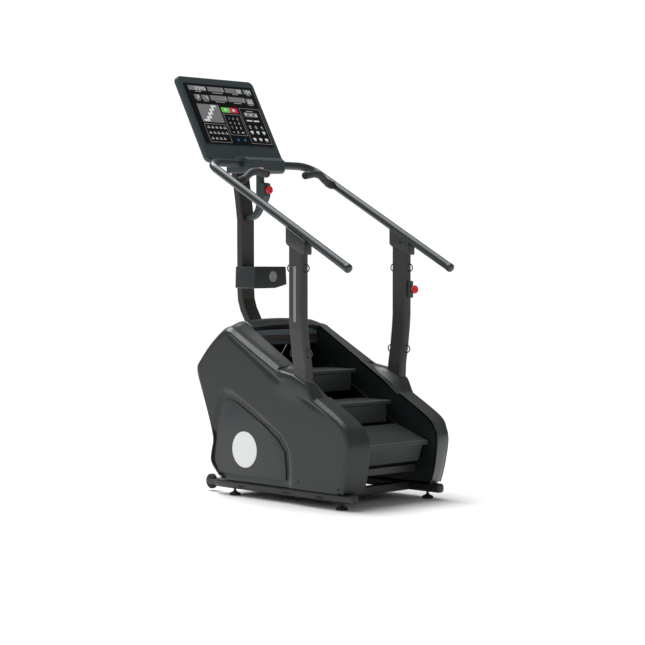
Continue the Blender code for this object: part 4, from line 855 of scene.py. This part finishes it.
def digit(symbol, u, v, width, height):
    """Seven-segment digit whose lower left corner is (u, v)."""
    t = height * 0.15
    middle = v + height / 2
    places = {"a": (u + t * 0.6, v + height - t, u + width - t * 0.6, v + height),
              "g": (u + t * 0.6, middle - t / 2, u + width - t * 0.6, middle + t / 2),
              "d": (u + t * 0.6, v, u + width - t * 0.6, v + t),
              "f": (u, middle + t * 0.6, u + t, v + height - t * 0.6),
              "b": (u + width - t, middle + t * 0.6, u + width, v + height - t * 0.6),
              "e": (u, v + t * 0.6, u + t, middle - t * 0.6),
              "c": (u + width - t, v + t * 0.6, u + width, middle - t * 0.6)}
    return [bar(*places[s]) for s in SEGMENTS[symbol]]


def number(text, right, v, width, height):
    shapes = []
    for k, symbol in enumerate(reversed(text)):
        shapes += digit(symbol, right - (k + 1) * width * 1.35, v, width, height)
    return shapes


def console_prints():
    windows = [bar(-0.213, 0.421, -0.095, 0.449), bar(-0.083, 0.421, 0.027, 0.449),
               bar(0.037, 0.420, 0.153, 0.449), bar(0.164, 0.420, 0.219, 0.449),
               bar(-0.193, 0.367, -0.154, 0.396), bar(-0.145, 0.365, -0.097, 0.395),
               bar(-0.086, 0.365, 0.026, 0.397), bar(0.034, 0.365, 0.152, 0.396),
               bar(0.160, 0.357, 0.208, 0.393), bar(-0.199, 0.229, -0.053, 0.338),
               bar(0.107, 0.277, 0.200, 0.304)]
    prints("display_windows", windows, GREY_WINDOW)
    large, small = (0.0125, 0.0215), (0.0075, 0.013)      # width and height of a digit
    readings = (("12345", -0.096, 0.424), ("1", 0.024, 0.424), ("32", 0.151, 0.424), ("54", 0.217, 0.423),
                ("2", -0.158, 0.370), ("4", -0.100, 0.369), ("1", 0.024, 0.369), ("1", 0.150, 0.369),
                ("60", 0.205, 0.362))
    white = []
    for text, right, v in readings:
        white += number(text, right, v, *large)
    stair = [(-0.186, 0.234), (-0.148, 0.234), (-0.148, 0.252), (-0.130, 0.252), (-0.130, 0.276),
             (-0.112, 0.276), (-0.112, 0.300), (-0.094, 0.300), (-0.094, 0.322), (-0.074, 0.322),
             (-0.074, 0.334), (-0.108, 0.334), (-0.108, 0.312), (-0.126, 0.312), (-0.126, 0.288),
             (-0.144, 0.288), (-0.144, 0.264), (-0.162, 0.264), (-0.162, 0.246), (-0.186, 0.246)]
    white += [stair]
    for row, symbols in enumerate(("123", "456", "789")):
        for column, symbol in enumerate(symbols):
            white += digit(symbol, -0.018 + column * 0.0295, 0.252 - row * 0.0275, *small)
    white += digit("0", 0.0115, 0.170, *small)
    white += [bar(-0.019, 0.174, -0.009, 0.177), bar(0.040, 0.173, 0.058, 0.178)]
    white += [[(0.112, 0.299), (0.128, 0.299), (0.120, 0.283)],
              [(0.182, 0.283), (0.198, 0.283), (0.190, 0.299)], disc(0.154, 0.291, 0.006)]
    white += [bar(0.108, 0.249, 0.146, 0.257), bar(0.158, 0.249, 0.196, 0.257)]
    for row, v in enumerate((0.180, 0.137)):
        for u in (0.115, 0.156, 0.197):
            white += [bar(u - 0.010, v - 0.002, u + 0.010, v + 0.010),
                      bar(u - 0.006, v - 0.009, u + 0.006, v - 0.005)]
    prints("white_prints", white, WHITE_PRINT, 0.0003, 0.0006)
    dim = outlined(-0.199, 0.109, -0.052, 0.219) + outlined(-0.040, 0.158, 0.076, 0.286)
    dim += outlined(0.086, 0.112, 0.226, 0.329) + [bar(0.130, 0.310, 0.176, 0.314)]
    captions = ((-0.175, -0.135, 0.413), (-0.060, 0.010, 0.411), (0.080, 0.118, 0.412),
                (0.180, 0.204, 0.412), (-0.187, -0.160, 0.359), (-0.140, -0.104, 0.357),
                (-0.060, 0.004, 0.356), (0.066, 0.118, 0.356), (0.170, 0.200, 0.350))
    for u0, u1, v in captions:
        dim.append(bar(u0, v, u1, v + 0.0035))
    for row, (v, count) in enumerate(((0.195, 5), (0.162, 5), (0.128, 4))):
        for k in range(count):
            u = -0.184 + k * 0.027
            dim += [bar(u, v - 0.003, u + 0.016, v + 0.004), bar(u + 0.003, v + 0.006, u + 0.012, v + 0.010)]
    for u in (0.115, 0.156, 0.197):
        dim += [[(u - 0.009, 0.213), (u + 0.009, 0.213), (u, 0.226)], bar(u - 0.005, 0.205, u + 0.008, 0.209)]
    prints("dim_prints", dim, DIM_PRINT)
    prints("green_key_print", [bar(-0.041, 0.295, 0.0145, 0.326)], GREEN_KEY)
    prints("red_key_print", [bar(0.0145, 0.295, 0.070, 0.327)], RED_KEY)
    prints("key_symbols", [disc(-0.014, 0.311, 0.0075), bar(0.034, 0.304, 0.050, 0.318)], WHITE_PRINT, 0.0003,
           0.0006)
    prints("blue_prints", [disc(-0.004, 0.129, 0.0075), disc(0.043, 0.130, 0.0075)], BLUE_PRINT)


def console_body():
    outline = rounded_rectangle(CONSOLE_WIDTH / 2, CONSOLE_LENGTH / 2, 0.028, steps=8)
    middle, back = CONSOLE_LENGTH / 2, CONSOLE_THICKNESS
    layers = ((0.0, 0.0095), (0.0, 0.007), (0.0012, 0.0035), (0.0035, 0.0012), (0.0070, 0.0),
              (back - 0.012, 0.0), (back - 0.006, 0.0020), (back - 0.002, 0.0065), (back, 0.012))
    half_u, half_v = CONSOLE_WIDTH / 2, CONSOLE_LENGTH / 2
    bm = bmesh.new()
    rings = [[on_console(u * (half_u - inset) / half_u, middle + v * (half_v - inset) / half_v, -depth)
              for u, v in outline] for depth, inset in layers]
    add_loft(bm, rings)
    place(mesh_object("console_shell_skin", bm, 50.0), ROOT, CONSOLE, ["console_shell"])
    bm = bmesh.new()
    for v in (0.30, 0.32, 0.34, 0.36, 0.38, 0.40):
        for sign in (-1, 1):
            slot = bar(sign * 0.155 - 0.050, v, sign * 0.155 + 0.050, v + 0.007)
            add_prism(bm, slot, -back - 0.0006, -back + 0.001, on_console)
    place(mesh_object("console_vents", bm), ROOT, SHADOW_GAP)
    bm = bmesh.new()
    plate = [(u, 0.120 + v) for u, v in rounded_rectangle(0.075, 0.090, 0.015)]
    rings = [[on_console(u * s, 0.120 + (v - 0.120) * s, -back - d) for u, v in plate]
             for s, d in ((1.0, 0.0), (1.0, 0.006), (0.97, 0.008))]
    add_loft(bm, rings)
    place(mesh_object("console_mount_plate", bm), ROOT, MAST)


studio()
side_covers()
access_panels()
cover_screws()
steps()
rear_hood()
stair_well()
floor_rails()
handrails()
rail_brackets()
grips()
post_marks()
accessory_tray()
stop_buttons()
console_body()
console_prints()

CAD_FINISHES = (
    (WELL, ("side_plate_left", "side_plate_right")),
    (FRAME, ("front_cross_tube", "rear_cross_tube", "front_cross_bar", "wheel_bracket_left",
             "wheel_bracket_right", "drive_motor")),
    (RUBBER, ("foot_front_left", "foot_front_right", "foot_rear_left", "foot_rear_right", "wheel_left",
              "wheel_right", "drive_belt")),
    (POST, ("post_left", "post_right")),
    (MAST, ("mast",)),
    (CONSOLE, ("console_hub", "estop_arm", "estop_base_arm", "estop_base_post")),
    (FACE, ("console_face",)),
    (PANEL, ("inner_rear_panel",)),
    (BUTTON_GLOW, ("thumb_button_left",)),
    (GRIP, ("thumb_button_right",)),
    (DARK_STEEL, ("chain_left", "chain_right", "upper_shaft", "lower_shaft", "motor_pulley")))
for finish, node_names in CAD_FINISHES:
    for node_name in node_names:
        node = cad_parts[node_name]
        node.data.materials.clear()
        node.data.materials.append(finish)
